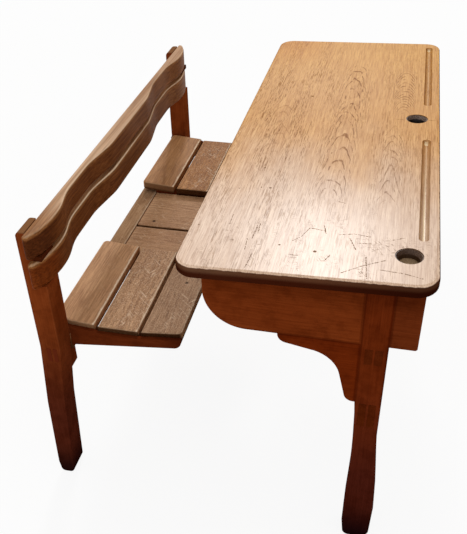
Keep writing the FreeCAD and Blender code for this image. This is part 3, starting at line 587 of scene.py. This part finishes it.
def worn_board(node, along, rough, wear_and_highlight, tint, slope=0.0, sides_and_shade=BROWN_SIDES_AND_SHADE, ends=END_GRIME_AND_SHADE,
               tenon=None, dent=None, seam=None):
    pores, streak = 0.2 + 0.4 * rough, 0.15 + 0.3 * rough
    board = Board(node, along, SEAT, 0.3, pores, streak, slope)
    g = board.g
    board.stain(1.0, tint)
    weather(board, rough)
    bare_and_shaded = rub(board, wear_and_highlight, sides_and_shade, ends)
    if tenon:
        far_out = g.size(g.split(board.place)[1])
        board.cover(g.ramp(far_out, tenon - 0.05, tenon - 0.045), TENON_RED)
    if seam is not None:
        board.stain(joint_lines(board, [("x", seam)], BRIDGE_SEAM_WIDTH), SEAM)
    if dent:
        board.stain(g.fade(g.distance(board.place, dent), 0.003, 0.006), DENT)
    coat = None if tenon else g.fade(bare_and_shaded, 0.0, 0.5, COAT)
    board.finish(gloss=0.5, relief=0.3 + 0.4 * rough, coat=coat)


print("scuffs run at:", SCUFF_ANGLES, "radians")

# %% [markdown]
# ## Dressing seats, bridge and bench rail
# Three slats make a seat: the front and back ones slope towards the middle one. Each row has its
# own wear, and the far seat is browner than the near one. Six materials could be written one by one,
# but tables keep their values together, so that a row can be changed in one place.

# %% Seat boards
# Per row: slope, roughness, wear with a painted highlight, sides with painted shade, and ends with
# grime and painted shade.
ROWS = {
    "back": {"slope": -7 / 88, "rough": 0.12, "wear_and_highlight": 1.0,
             "sides_and_shade": (1.0, 0.88, 0.78), "ends": (0.44, 0.44, 0.44)},
    "middle": {"slope": 0.0, "rough": 0.9, "wear_and_highlight": 1.0,
               "sides_and_shade": (1.0, 0.88, 0.78), "ends": (0.13, 0.1, 0.08)},
    "front": {"slope": 10 / 88, "rough": 0.7, "wear_and_highlight": 0.4,
              "sides_and_shade": (0.5, 0.4, 0.32), "ends": (0.19, 0.14, 0.11)},
}
TINTS = {
    "back_near": (1.07, 1.11, 1.18), "back_far": (0.84, 0.78, 0.68),
    "middle_near": (0.96, 1.04, 1.17), "middle_far": (0.93, 0.82, 0.61),
    "front_near": (0.78, 0.88, 1.08), "front_far": (0.77, 0.75, 0.66),
}
BRIDGE_TINT, RAIL_TINT = (0.93, 0.97, 1.04), (0.66, 0.72, 0.82)
DENTS = {
    "seat_slat_front_near": (-0.121, -0.272, 0.419),
    "bridge_board_far": (-0.288, 0.0057, 0.394),
}
BENCH_OUT = 0.508

for side in ("near", "far"):
    for row, values in ROWS.items():
        node = f"seat_slat_{row}_{side}"
        worn_board(node, "y", tint=TINTS[f"{row}_{side}"], dent=DENTS.get(node), **values)
    node = f"bridge_board_{side}"
    worn_board(node, "x", rough=0.4, wear_and_highlight=0.1, tint=BRIDGE_TINT, dent=DENTS.get(node),
               seam=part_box(node)[0].x)
worn_board("bench_rear_rail", "y", rough=0.2, wear_and_highlight=0.2, tint=RAIL_TINT, tenon=BENCH_OUT)
print("boards dressed so far:", len(bpy.data.materials))

# %% [markdown]
# ## The wavy front of a backrest rail
# The rails are wavy, so a box can't tell where their front edge is. The wave could be written as a
# formula a second time, but the solid's own outline can't disagree with it: the points along the
# upper front edge are read and put into a curve, which gives the front for every place along the
# rail. The rail is the same at both ends, so one half is enough.

# %% Outline of a rail
RAIL_ROUND = 0.005
SAME_HEIGHT, BACK_FACE = 0.0003, 0.007


def front_outline(node):
    """Points (distance from the middle, x) along the upper front edge of a rail."""
    low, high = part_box(node)
    found = {}
    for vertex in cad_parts[node].data.vertices:
        x, y, z = vertex.co
        level_with = abs(z - (high.z - RAIL_ROUND)) < SAME_HEIGHT
        if level_with and x > low.x + BACK_FACE and y >= 0:
            found[round(y, 4)] = x
    return sorted(found.items())


def front_line(g, node, y):
    """The x of the rail's front at every place along it."""
    low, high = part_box(node)
    reach = high.x - low.x
    curve = g.tree.nodes.new("ShaderNodeFloatCurve")
    line = curve.mapping.curves[0]
    steps = [(along / high.y, (front - low.x) / reach) for along, front in front_outline(node)]
    line.points[0].location = (0.0, steps[0][1])
    line.points[1].location = (1.0, steps[-1][1])
    for step in steps:
        if 0.01 < step[0] < 0.99:
            line.points.new(*step)
    curve.mapping.update()
    g.feed(curve.inputs["Value"], g.over(g.size(y), high.y))
    return g.plus(g.product(curve.outputs[0], reach), low.x)


print("outline points:", len(front_outline("backrest_upper_rail")))

# %% [markdown]
# ## Backrest rails
# Backs have rubbed the lower rail's front edge pale, and hands the upper rail's top; a painted
# highlight runs along the front edge with the wear. Towards the near ends, where nobody leans, the
# brown varnish is left. Below the top the faces are darker, partly kept varnish and partly painted
# shade. The wear follows the distance from the front line and from the top, so it keeps to the edge
# all along the wave.

# %% Backrest finish
RAIL = (screen(132, 84, 46), screen(184, 126, 76))
RAIL_WORN, RAIL_ARRIS_WEAR_AND_HIGHLIGHT = screen(234, 198, 164), screen(246, 214, 178)
FRONT_VARNISH_AND_SHADE, NEAR_BROWN = (0.62, 0.50, 0.42), (0.66, 0.50, 0.40)
# How far the top face is rubbed, and how far the front edge is rubbed and carries a painted
# highlight.
RUBBED = {"backrest_upper_rail": (0.5, 0.55), "backrest_lower_rail": (0.05, 0.95)}
END_TINTS = {
    "backrest_upper_rail": (0.52, 0.44, 0.40),
    "backrest_lower_rail": (0.95, 0.66, 0.40),
}


def worn_rail(node, top_wear, edge_wear_and_highlight):
    board = Board(node, "y", RAIL, rings=0.3, pores=0.5, streak=0.6)
    g = board.g
    x, y, z = g.split(board.place)
    from_front = g.minus(front_line(g, node, y), x)
    from_top = g.minus(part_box(node)[1].z, z)
    arris = g.most(from_front, from_top)
    wobble = g.swing(board.look["Cloud"], 0.004)
    handled = g.product(g.ramp(y, -0.48, -0.36, 0.25, 1.0), g.ramp(y, -0.3, 0.3, 1.2, 0.75))
    streaky = g.product(handled, g.ramp(board.look["Streaks"], 0.42, 0.62, 1.15, 0.6))
    board.cover(g.product(g.fade(from_top, 0.0005, 0.003, top_wear), streaky), RAIL_WORN)
    # Worn front edge, with a painted highlight along it.
    edge = g.fade(g.plus(arris, wobble), 0.0014, 0.0036, edge_wear_and_highlight)
    board.cover(g.product(edge, handled), RAIL_ARRIS_WEAR_AND_HIGHLIGHT)
    # Faces below the top: kept varnish and painted shade.
    board.stain(g.ramp(from_top, 0.004, 0.012, 0.0, 0.6), FRONT_VARNISH_AND_SHADE)
    front_face = g.ramp(from_top, 0.004, 0.012)
    board.stain(g.product(front_face, g.fade(y, -0.5, 0.4, 0.9)), NEAR_BROWN)
    board.stain(g.product(front_face, g.fade(y, -0.475, -0.415)), END_TINTS[node])
    board.finish(gloss=0.45, shine=0.02)


for node, rubbed in RUBBED.items():
    worn_rail(node, *rubbed)
print("rails dressed:", list(RUBBED))

# %% [markdown]
# ## The desk top: its two boards
# The top is paler than the rest: sleeves have polished its varnish thin. Its far end keeps a golden
# tone. Its near end is pale, partly bleached wood and partly painted sheen of the glare, and paler
# still beside the pupils' edge, where the sheen is painted too. The two boards could be one
# material, but each was cut from its own tree, so they share the layers below and differ in the
# heart of the tree. Places on the top are given from its corner: X from the pupils' edge, Y from the
# near end.

# %% Top boards and their ground tone
TOP_CORNER = Vector((-0.05225, -0.575, 0.691))
TOP_SLOPE = 14.7 / 443.5
TOP_HALF = Vector((0.22175, 0.575, 0.0125))
TOP_LEAN = 0.085
RIM_INSET = (0.013, 0.016)
TOP_GOLD = (screen(204, 146, 86), screen(232, 178, 112))
TOP_PALE_AND_SHEEN = (screen(204, 169, 142), screen(236, 205, 177))
TOP_DARK, TOP_STREAK = (0.42, 0.29, 0.20), (0.80, 0.70, 0.60)
FAR_GOLD, FAR_CORNER, NEAR_EDGE_SHEEN = (1.04, 1.03, 0.86), (0.92, 0.80, 0.62), (1.12, 1.15, 1.2)


class TopBoard(Finish):
    """A board of the desk top, with places given from the top's corner."""

    def __init__(self, node, heart):
        super().__init__(f"{node} oak")
        g = self.g
        space = g.group(board_space, Point=g.place(), Middle=TOP_CORNER, Slope=TOP_SLOPE)
        self.point = space["Place"]
        self.x, self.y, self.z = g.split(self.point)
        self.flat = g.scaled(self.point, (1.0, 1.0, 0.0))
        self.grain = g.group(oak_grain, Point=self.point, Heart=heart, Lean=TOP_LEAN, Ring=0.0085,
                             Sway=0.05, Fine=1.7)
        centred = g.vector("SUBTRACT", self.point, (TOP_HALF.x, TOP_HALF.y, -TOP_HALF.z))
        edges = g.group(board_edges, Point=centred, Half_size=TOP_HALF, Width=0.006)
        self.below = edges["Below"]
        gaps = g.split(g.vector("SUBTRACT", TOP_HALF, g.vector("ABSOLUTE", centred)))
        self.outside = g.fade(g.least(gaps[0], gaps[1]), *RIM_INSET)


def ground(top):
    """Gold at the far end; bleached wood and painted sheen at the near end; streaks, rings and
    pores.
    """
    g, x, y, grain = top.g, top.x, top.y, top.grain
    bleached_and_sheen = g.fade(g.plus(y, g.swing(grain["Cloud"], 0.45)), 0.14, 0.64)
    fibre = g.ramp(grain["Fibres"], 0.3, 0.7)
    top.tone = g.mix(bleached_and_sheen, g.mix(fibre, *TOP_GOLD), g.mix(fibre, *TOP_PALE_AND_SHEEN))
    top.stain(g.ramp(grain["Streaks"], 0.4, 0.68, 0.0, 0.35), TOP_STREAK)
    top.stain(g.ramp(y, 0.7, 1.1), FAR_GOLD)
    top.stain(g.product(g.ramp(y, 0.9, 1.12), g.fade(x, 0.04, 0.2)), FAR_CORNER)
    # Painted sheen: the near end is lighter beside the pupils' edge.
    top.stain(g.product(bleached_and_sheen, g.fade(x, 0.03, 0.14)), NEAR_EDGE_SHEEN)
    top.stain(g.product(grain["Rings"], 0.12), TOP_DARK)
    top.stain(g.product(grain["Pores"], 0.25), TOP_DARK)


print("top slope:", round(math.degrees(math.atan(TOP_SLOPE)), 2), "degrees")

# %% [markdown]
# ## The desk top: combed grain and arches
# The softer wood between the rings has worn hollow and holds dirt. It shows as a comb of fine dark
# lines, broken into dashes, and as columns of arches in short strokes; the rear board has a
# feathered figure beside its far pen groove. A single noise would give all of these one size, so
# the comb is a product of three noises and the arches come from their own group.

# %% Figure of the top
COMB = (0.50, 0.40, 0.32)
COLUMN_FADE = 0.08


def comb(top):
    """Stain the combed lines. Gives back where they are."""
    g, x, y = top.g, top.x, top.y
    bands = g.ramp(g.stretched(top.point, 26.0, 3.5), 0.40, 0.58, 0.35, 1.0)
    lines = g.ramp(g.stretched(top.point, 560.0, 14.0, detail=1.0), 0.47, 0.58)
    breaks = g.ramp(g.stretched(top.point, 300.0, 40.0), 0.44, 0.56)
    fainter = g.product(g.ramp(x, 0.12, 0.22, 1.0, 0.6), g.ramp(y, 0.8, 1.0, 1.0, 0.6))
    combed = g.product(lines, breaks, bands, fainter)
    top.stain(g.product(combed, g.ramp(y, 0.2, 0.5, 0.45, 0.85)), COMB)
    return combed


def feather(top, columns):
    """Stain the columns of arches. Gives back where they are."""
    g, y = top.g, top.y
    figure = 0.0
    for middle, spread, step, start, end, strength in columns:
        mark = g.group(arches, Point=top.point, Middle=middle, Spread=spread, Step=step)["Mark"]
        starts, ends = g.ramp(y, start, start + COLUMN_FADE), g.fade(y, end - COLUMN_FADE, end)
        figure = g.most(figure, g.product(mark, g.product(starts, ends), strength))
    top.stain(figure, TOP_DARK)
    return figure


print("columns fade over:", COLUMN_FADE, "m")

# %% [markdown]
# ## The desk top: scratches and spots
# Pens and pocket knives left scratches, most of them at the near end, and a few round dents. Noise
# can't put a scratch where it is, so each has its two ends in a list, and each spot its middle and
# its radius. The faint scuffs between them have no place of their own and come from noise.

# %% Marks on the top
SCRATCH_WIDTH = 0.001
SCRATCHES = [
    ((0.1928, 0.1055), (0.2054, 0.1193)), ((0.2054, 0.1193), (0.2174, 0.1504)),
    ((0.2174, 0.1504), (0.2464, 0.1433)), ((0.2409, 0.1612), (0.2474, 0.1343)),
    ((0.2717, 0.1348), (0.2953, 0.1411)), ((0.2953, 0.1411), (0.3246, 0.1351)),
    ((0.3628, 0.1299), (0.3828, 0.1398)), ((0.285, 0.0216), (0.316, 0.0447)),
    ((0.316, 0.0447), (0.3552, 0.0677)), ((0.3464, 0.0386), (0.385, 0.034)),
    ((0.385, 0.034), (0.4157, 0.0233)), ((0.3214, 0.0726), (0.3269, 0.012)),
    ((0.1263, 0.014), (0.1304, 0.0558)), ((0.1155, 0.0651), (0.1132, 0.1001)),
    ((0.1212, 0.1012), (0.1227, 0.1446)), ((0.128, 0.1174), (0.1265, 0.1515)),
    ((0.0715, 0.1438), (0.0711, 0.1764)), ((0.1932, 0.0622), (0.2093, 0.0606)),
    ((0.3042, 0.1127), (0.3293, 0.1134)), ((0.3028, 0.0923), (0.2903, 0.1254)),
    ((0.2614, 0.0694), (0.2542, 0.0517)), ((0.345, 0.633), (0.364, 0.631)),
    ((0.419, 0.634), (0.433, 0.633)), ((0.2564, 0.2491), (0.2707, 0.2442)),
]
SPOTS = [
    ((0.142, 0.745), 0.0035), ((0.121, 0.284), 0.003), ((0.172, 0.0885), 0.0025),
    ((0.235, 0.0768), 0.0035), ((0.0161, 0.133), 0.002), ((0.061, 0.275), 0.002),
    ((0.103, 0.2845), 0.002), ((0.095, 0.365), 0.0025),
]
MARK = (0.22, 0.17, 0.15)
TOP_SCUFF_ANGLES = (1.25, -0.6)


def scratched(top):
    """Stain scratches, spots and scuffs. Gives back where they are."""
    g = top.g
    stray = g.swing(g.noise(top.point, 300.0), 0.005)
    closest = 1.0
    for start, end in SCRATCHES:
        run = Vector((end[0] - start[0], end[1] - start[1], 0.0))
        line = g.group(scratch, Flat=top.flat, Stray=stray, Start=(*start, 0.0), Run=run,
                       Squared=run.length_squared)
        closest = g.least(closest, line["Gap"])
    for spot, radius in SPOTS:
        gap = g.distance(top.flat, (*spot, 0.0))
        closest = g.least(closest, g.minus(gap, radius - SCRATCH_WIDTH))
    marks = g.fade(closest, SCRATCH_WIDTH * 0.3, SCRATCH_WIDTH)
    for angle in TOP_SCUFF_ANGLES:
        fine = g.group(scuffs, Point=top.point, Angle=angle)["Mark"]
        marks = g.most(marks, g.product(fine, g.fade(top.y, 0.08, 0.3, 0.8)))
    top.stain(g.product(marks, 0.7), MARK)
    return marks


print("scratches:", len(SCRATCHES), "spots:", len(SPOTS))

# %% [markdown]
# ## The desk top: pen grooves and holes
# The grooves and the holes for the cups are cut in the solid, so the finish needs only to know
# where it is below the flat of the top. There it is darker, partly with grime and partly with
# painted shade on the walls, most of it on the pupils' side. A painted highlight runs along the
# bottom of a groove, with a painted glint at its far end, where it turns up towards the light.

# %% Grooves and holes
GROOVE_MIDDLE = 0.415
GROOVE_ENDS, GLINT_INSET = (0.534, 1.115), 0.009
GROOVE_HIGHLIGHT = screen(255, 230, 184)
GRIME_AND_SHADE, HOLE_GRIME_AND_SHADE = (0.50, 0.40, 0.26), (0.45, 0.40, 0.36)
WELLS, WELL_RADII = [(0.3925, 0.086, 0.0), (0.3925, 0.639, 0.0)], (0.0246, 0.0258)


def grooves(top):
    g, y = top.g, top.y
    sunk = g.product(g.ramp(top.below, 0.0003, 0.0012), g.minus(1.0, top.outside))
    off_side = g.minus(top.x, GROOVE_MIDDLE)
    off_middle = g.size(off_side)
    walls = g.ramp(off_middle, 0.001, 0.008, 0.3, 1.0)
    pupils_side = g.ramp(off_side, -0.004, 0.006, 1.0, 0.6)
    # Grime and painted shade on the groove walls.
    top.stain(g.product(sunk, g.product(walls, pupils_side)), GRIME_AND_SHADE)
    # Painted highlight along the groove's bottom, and a painted glint near each far end.
    streak = g.product(g.fade(off_middle, 0.0008, 0.0026), g.ramp(y, 0.15, 0.5, 0.6, 0.15))
    for end in GROOVE_ENDS:
        from_glint = g.size(g.minus(y, end - GLINT_INSET))
        glint = g.product(g.fade(from_glint, 0.004, 0.008), g.fade(off_middle, 0.002, 0.005, 0.85))
        streak = g.most(streak, glint)
    top.cover(g.product(sunk, streak), GROOVE_HIGHLIGHT)
    for well in WELLS:
        hole = g.fade(g.distance(top.flat, well), *WELL_RADII)
        # Grime and painted shade inside the holes.
        top.stain(g.product(hole, sunk), HOLE_GRIME_AND_SHADE)


print("grooves end at:", GROOVE_ENDS)

# %% [markdown]
# ## The desk top: rim and polish
# The rounded rim kept its dark varnish, with a pale line along the upper edge where it has worn
# through. On the flat, what varnish is left is a clear coat over the wood, as on the real top. It is
# broken by the marks and by the combed grain, so the shine of the near end looks brushed and not
# like glass. A rougher wood would be dull there, and a smoother one would mirror the sky.

# %% Rim and polish
RIM_LOWER, RIM_UPPER, RIM_HEIGHTS = screen(62, 24, 11), screen(96, 59, 39), (-0.014, -0.005)
RUBBED_THROUGH = (1.25, 1.25, 1.25)
RIM_REAR, RIM_FRONT, RIM_CORNER = (0.42, 0.34, 0.30), (1.1, 1.25, 1.35), (0.62, 0.45, 0.30)
TOP_COAT_ROUGHNESS = 0.3
TOP_RELIEF = 0.8


def rim(top):
    """Cover the rim with dark varnish. Gives back where that is."""
    g, x = top.g, top.x
    dents = g.swing(g.noise(top.point, 70.0, 3.0), 0.0024)
    side = g.product(g.ramp(g.plus(top.below, dents), 0.0014, 0.0028), top.outside)
    top.stain(g.product(top.outside, g.ramp(top.below, 0.0004, 0.0014)), RUBBED_THROUGH)
    edge = g.mix(g.ramp(top.z, *RIM_HEIGHTS), RIM_LOWER, RIM_UPPER)
    edge = g.stain(g.ramp(x, 0.2, 0.44, 0.0, 0.8), edge, RIM_REAR)
    edge = g.stain(g.fade(x, 0.06, 0.16), edge, RIM_FRONT)
    edge = g.stain(g.fade(x, 0.0, 0.03), edge, RIM_CORNER)
    top.cover(side, edge)
    return side


def polish(top, combed, figure, marks, side):
    """A clear coat, broken by grain and marks, over wood with hollow grain."""
    g, y, grain = top.g, top.y, top.grain
    broken = g.product(g.most(combed, figure), 0.6)
    dull = g.most(side, marks, broken)
    gloss = g.plus(g.ramp(y, 0.1, 0.42, 0.62, 0.2), g.ramp(y, 0.45, 0.9, 0.0, 0.15))
    top.surface(Coat_Weight=g.product(gloss, g.minus(1.0, dull)))
    top.surface(Coat_Roughness=TOP_COAT_ROUGHNESS, Specular_IOR_Level=0.0)
    top.surface(Roughness=g.ramp(grain["Cloud"], 0.3, 0.7, 0.25, 0.34))
    hollows = g.most(combed, g.product(figure, 2.0))
    top.relief(g.minus(g.product(grain["Fibres"], 0.4), hollows), TOP_RELIEF, GRAIN_DEPTH)


print("rim dark between:", RIM_HEIGHTS)

# %% [markdown]
# ## Dressing the desk top
# With the layers ready, each board takes them in turn: wood, grain, marks, grime, rim and polish.
# Only the heart of the tree and the columns of arches differ between the two.

# %% Desk top
# The heart of the tree, then for each column of arches its middle, half width, spacing, start, end
# and strength.
TOP_BOARDS = {
    "desk_top_main": ((0.238, 1.25, -0.012), [
        (0.238, 0.032, 0.062, 0.22, 1.0, 0.8), (0.09, 0.04, 0.05, 0.4, 0.8, 0.35),
    ]),
    "desk_top_rear": ((0.352, 1.1, -0.012), [
        (0.362, 0.022, 0.018, 0.64, 0.96, 1.0), (0.345, 0.025, 0.04, 0.22, 0.62, 0.65),
    ]),
}

for node, (heart, columns) in TOP_BOARDS.items():
    top = TopBoard(node, heart)
    ground(top)
    combed = comb(top)
    figure = feather(top, columns)
    marks = scratched(top)
    grooves(top)
    side = rim(top)
    polish(top, combed, figure, marks, side)
    top.dress(node)
print("top boards dressed:", list(TOP_BOARDS))

# %% [markdown]
# ## Inkwells
# The cups are grey glazed earthenware, with painted shade on the -X side of the wall. The near one
# has a dusty floor; the far one's floor is dark, partly an ink stain and partly painted shade deep
# in the cup. Below the rim of both, a dark band on the lower wall is partly a crust of dried ink and
# partly painted shade. The cup is round and upright, so the height alone tells crust from floor,
# and no unwrapping is needed.

# %% Inkwell finish
CUP_FLOOR_DIRT_AND_SHADE = {"near": screen(160, 132, 100), "far": screen(24, 15, 14)}
INK_CRUST_AND_SHADE = {"near": screen(62, 40, 22), "far": screen(28, 18, 16)}
GLAZE = {
    "near": (screen(92, 70, 56), screen(124, 100, 84)),
    "far": (screen(112, 92, 80), screen(164, 142, 128)),
}
WALL_SHADE, FLOOR_SPECKS = (0.60, 0.54, 0.50), (0.6, 0.55, 0.5)
CRUST_SHADE_DEPTH, CRUST_SHADE_FADE = 0.0078, 0.0016
FLOOR_HEIGHTS = (0.0052, 0.0066)
GLAZE_DEPTH = 0.0004


def glaze(side):
    node = f"inkwell_{side}"
    low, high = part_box(node)
    cup = Finish(f"{node} glaze")
    g, place = cup.g, cup.g.place()
    x, _, height = g.split(place)
    speckle = g.noise(place, 420.0, 3.0)
    cup.tone = g.mix(g.ramp(speckle, 0.35, 0.7), *GLAZE[side])
    # Painted shade on the wall's -X side.
    cup.stain(g.fade(x, low.x + 0.012, high.x - 0.006), WALL_SHADE)
    depth = g.plus(g.minus(high.z, height), g.product(speckle, 0.002))
    # Crust of dried ink and painted shade on the lower wall.
    cup.cover(g.ramp(depth, CRUST_SHADE_DEPTH, CRUST_SHADE_DEPTH + CRUST_SHADE_FADE), INK_CRUST_AND_SHADE[side])
    # Floor: dust in the near cup; ink and painted shade in the far one.
    on_floor = g.fade(height, *(low.z + above for above in FLOOR_HEIGHTS))
    specks = g.ramp(speckle, 0.35, 0.65, 0.0, 0.6)
    cup.cover(on_floor, g.stain(specks, CUP_FLOOR_DIRT_AND_SHADE[side], FLOOR_SPECKS))
    cup.surface(Roughness=g.ramp(on_floor, 0.0, 1.0, 0.3, 0.75), Specular_IOR_Level=0.25)
    cup.relief(speckle, 0.2, GLAZE_DEPTH)
    cup.dress(node)


for side in CUP_FLOOR_DIRT_AND_SHADE:
    glaze(side)
print("cups dressed:", list(CUP_FLOOR_DIRT_AND_SHADE))

# %% [markdown]
# ## Screws
# The screws that hold the backrest are plain old steel, brown where they have rusted. One noise
# drives colour, roughness and relief together, because rust changes all three.

# %% Screw finish
STEEL, RUST = screen(92, 86, 80), screen(66, 48, 38)
RUST_DEPTH = 0.0003

screws = Finish("old screw steel")
g = screws.g
tarnish = g.noise(g.place(), 900.0, 3.0)
screws.tone = g.mix(g.ramp(tarnish, 0.4, 0.65), STEEL, RUST)
screws.surface(Roughness=g.ramp(tarnish, 0.3, 0.7, 0.35, 0.6), Metallic=0.9)
screws.relief(tarnish, 0.3, RUST_DEPTH)
screws.dress("backrest_screws")
print("materials:", len(bpy.data.materials))

# %% [markdown]
# ## Floor
# The floor is plain and pale. A white floor under strong light would throw too much light back on
# the desk, so it shows its white only to the camera and to reflections. It lights the desk as plain
# paint does, and keeps a soft shadow.

# %% Floor
REACH = 14.0
FLOOR_SHINE = 0.9
FLOOR_PAINT, WHITE = (0.9, 0.89, 0.88, 1), (1, 1, 1, 1)

corners = [(-REACH, -REACH, 0), (REACH, -REACH, 0), (REACH, REACH, 0), (-REACH, REACH, 0)]
floor_mesh = bpy.data.meshes.new("floor")
floor_mesh.from_pydata(corners, [], [(0, 1, 2, 3)])
floor = bpy.data.objects.new("floor", floor_mesh)
bpy.context.collection.objects.link(floor)

pale = Finish("pale floor")
g = pale.g
g.tree.nodes.remove(pale.shader)
paths = g.tree.nodes.new("ShaderNodeLightPath").outputs
mirrored = g.most(paths["Is Glossy Ray"], paths["Is Transmission Ray"])
seen = g.product(g.most(paths["Is Camera Ray"], mirrored), FLOOR_SHINE)
paint = g.node("BsdfDiffuse", {"Color": FLOOR_PAINT})
shine = g.node("Emission", {"Color": WHITE, "Strength": 1.0})
blend = g.node("MixShader", {0: seen, 1: paint, 2: shine})
g.feed(g.tree.nodes["Material Output"].inputs["Surface"], blend)
floor_mesh.materials.append(pale.material)
print("floor reaches:", REACH, "m each way")

# %% [markdown]
# ## Light
# A pale sky lights the desk softly from all round. One broad sun stands behind the far end, so that
# its reflection runs along the worn top towards the camera. Lamps close to the desk could do the
# same, but their light would fall off along its length.

# %% Sky and sun
SKY_LEVEL = 0.72
SUN_LEVEL, SUN_BREADTH = 1.08, math.radians(10)
SUN_RAYS = Vector((0.112, -0.795, -0.595))

world = bpy.data.worlds.new("sky")
bpy.context.scene.world = world
world.use_nodes = True
g = Graph(world.node_tree)
sky = world.node_tree.nodes["Background"]
sky.inputs["Color"].default_value = WHITE
camera_ray = g.node("LightPath", out="Is Camera Ray")
g.feed(sky.inputs["Strength"], g.ramp(camera_ray, 0.0, 1.0, SKY_LEVEL, 1.0))

sun_lamp = bpy.data.lights.new("window sun", "SUN")
sun_lamp.energy = SUN_LEVEL
sun_lamp.angle = SUN_BREADTH
sun = bpy.data.objects.new("window sun", sun_lamp)
sun.rotation_mode = "QUATERNION"
sun.rotation_quaternion = SUN_RAYS.to_track_quat("-Z", "Y")
bpy.context.collection.objects.link(sun)
print("sun:", SUN_LEVEL, "sky:", SKY_LEVEL)

# %% [markdown]
# ## Done

# %% End
print("done")
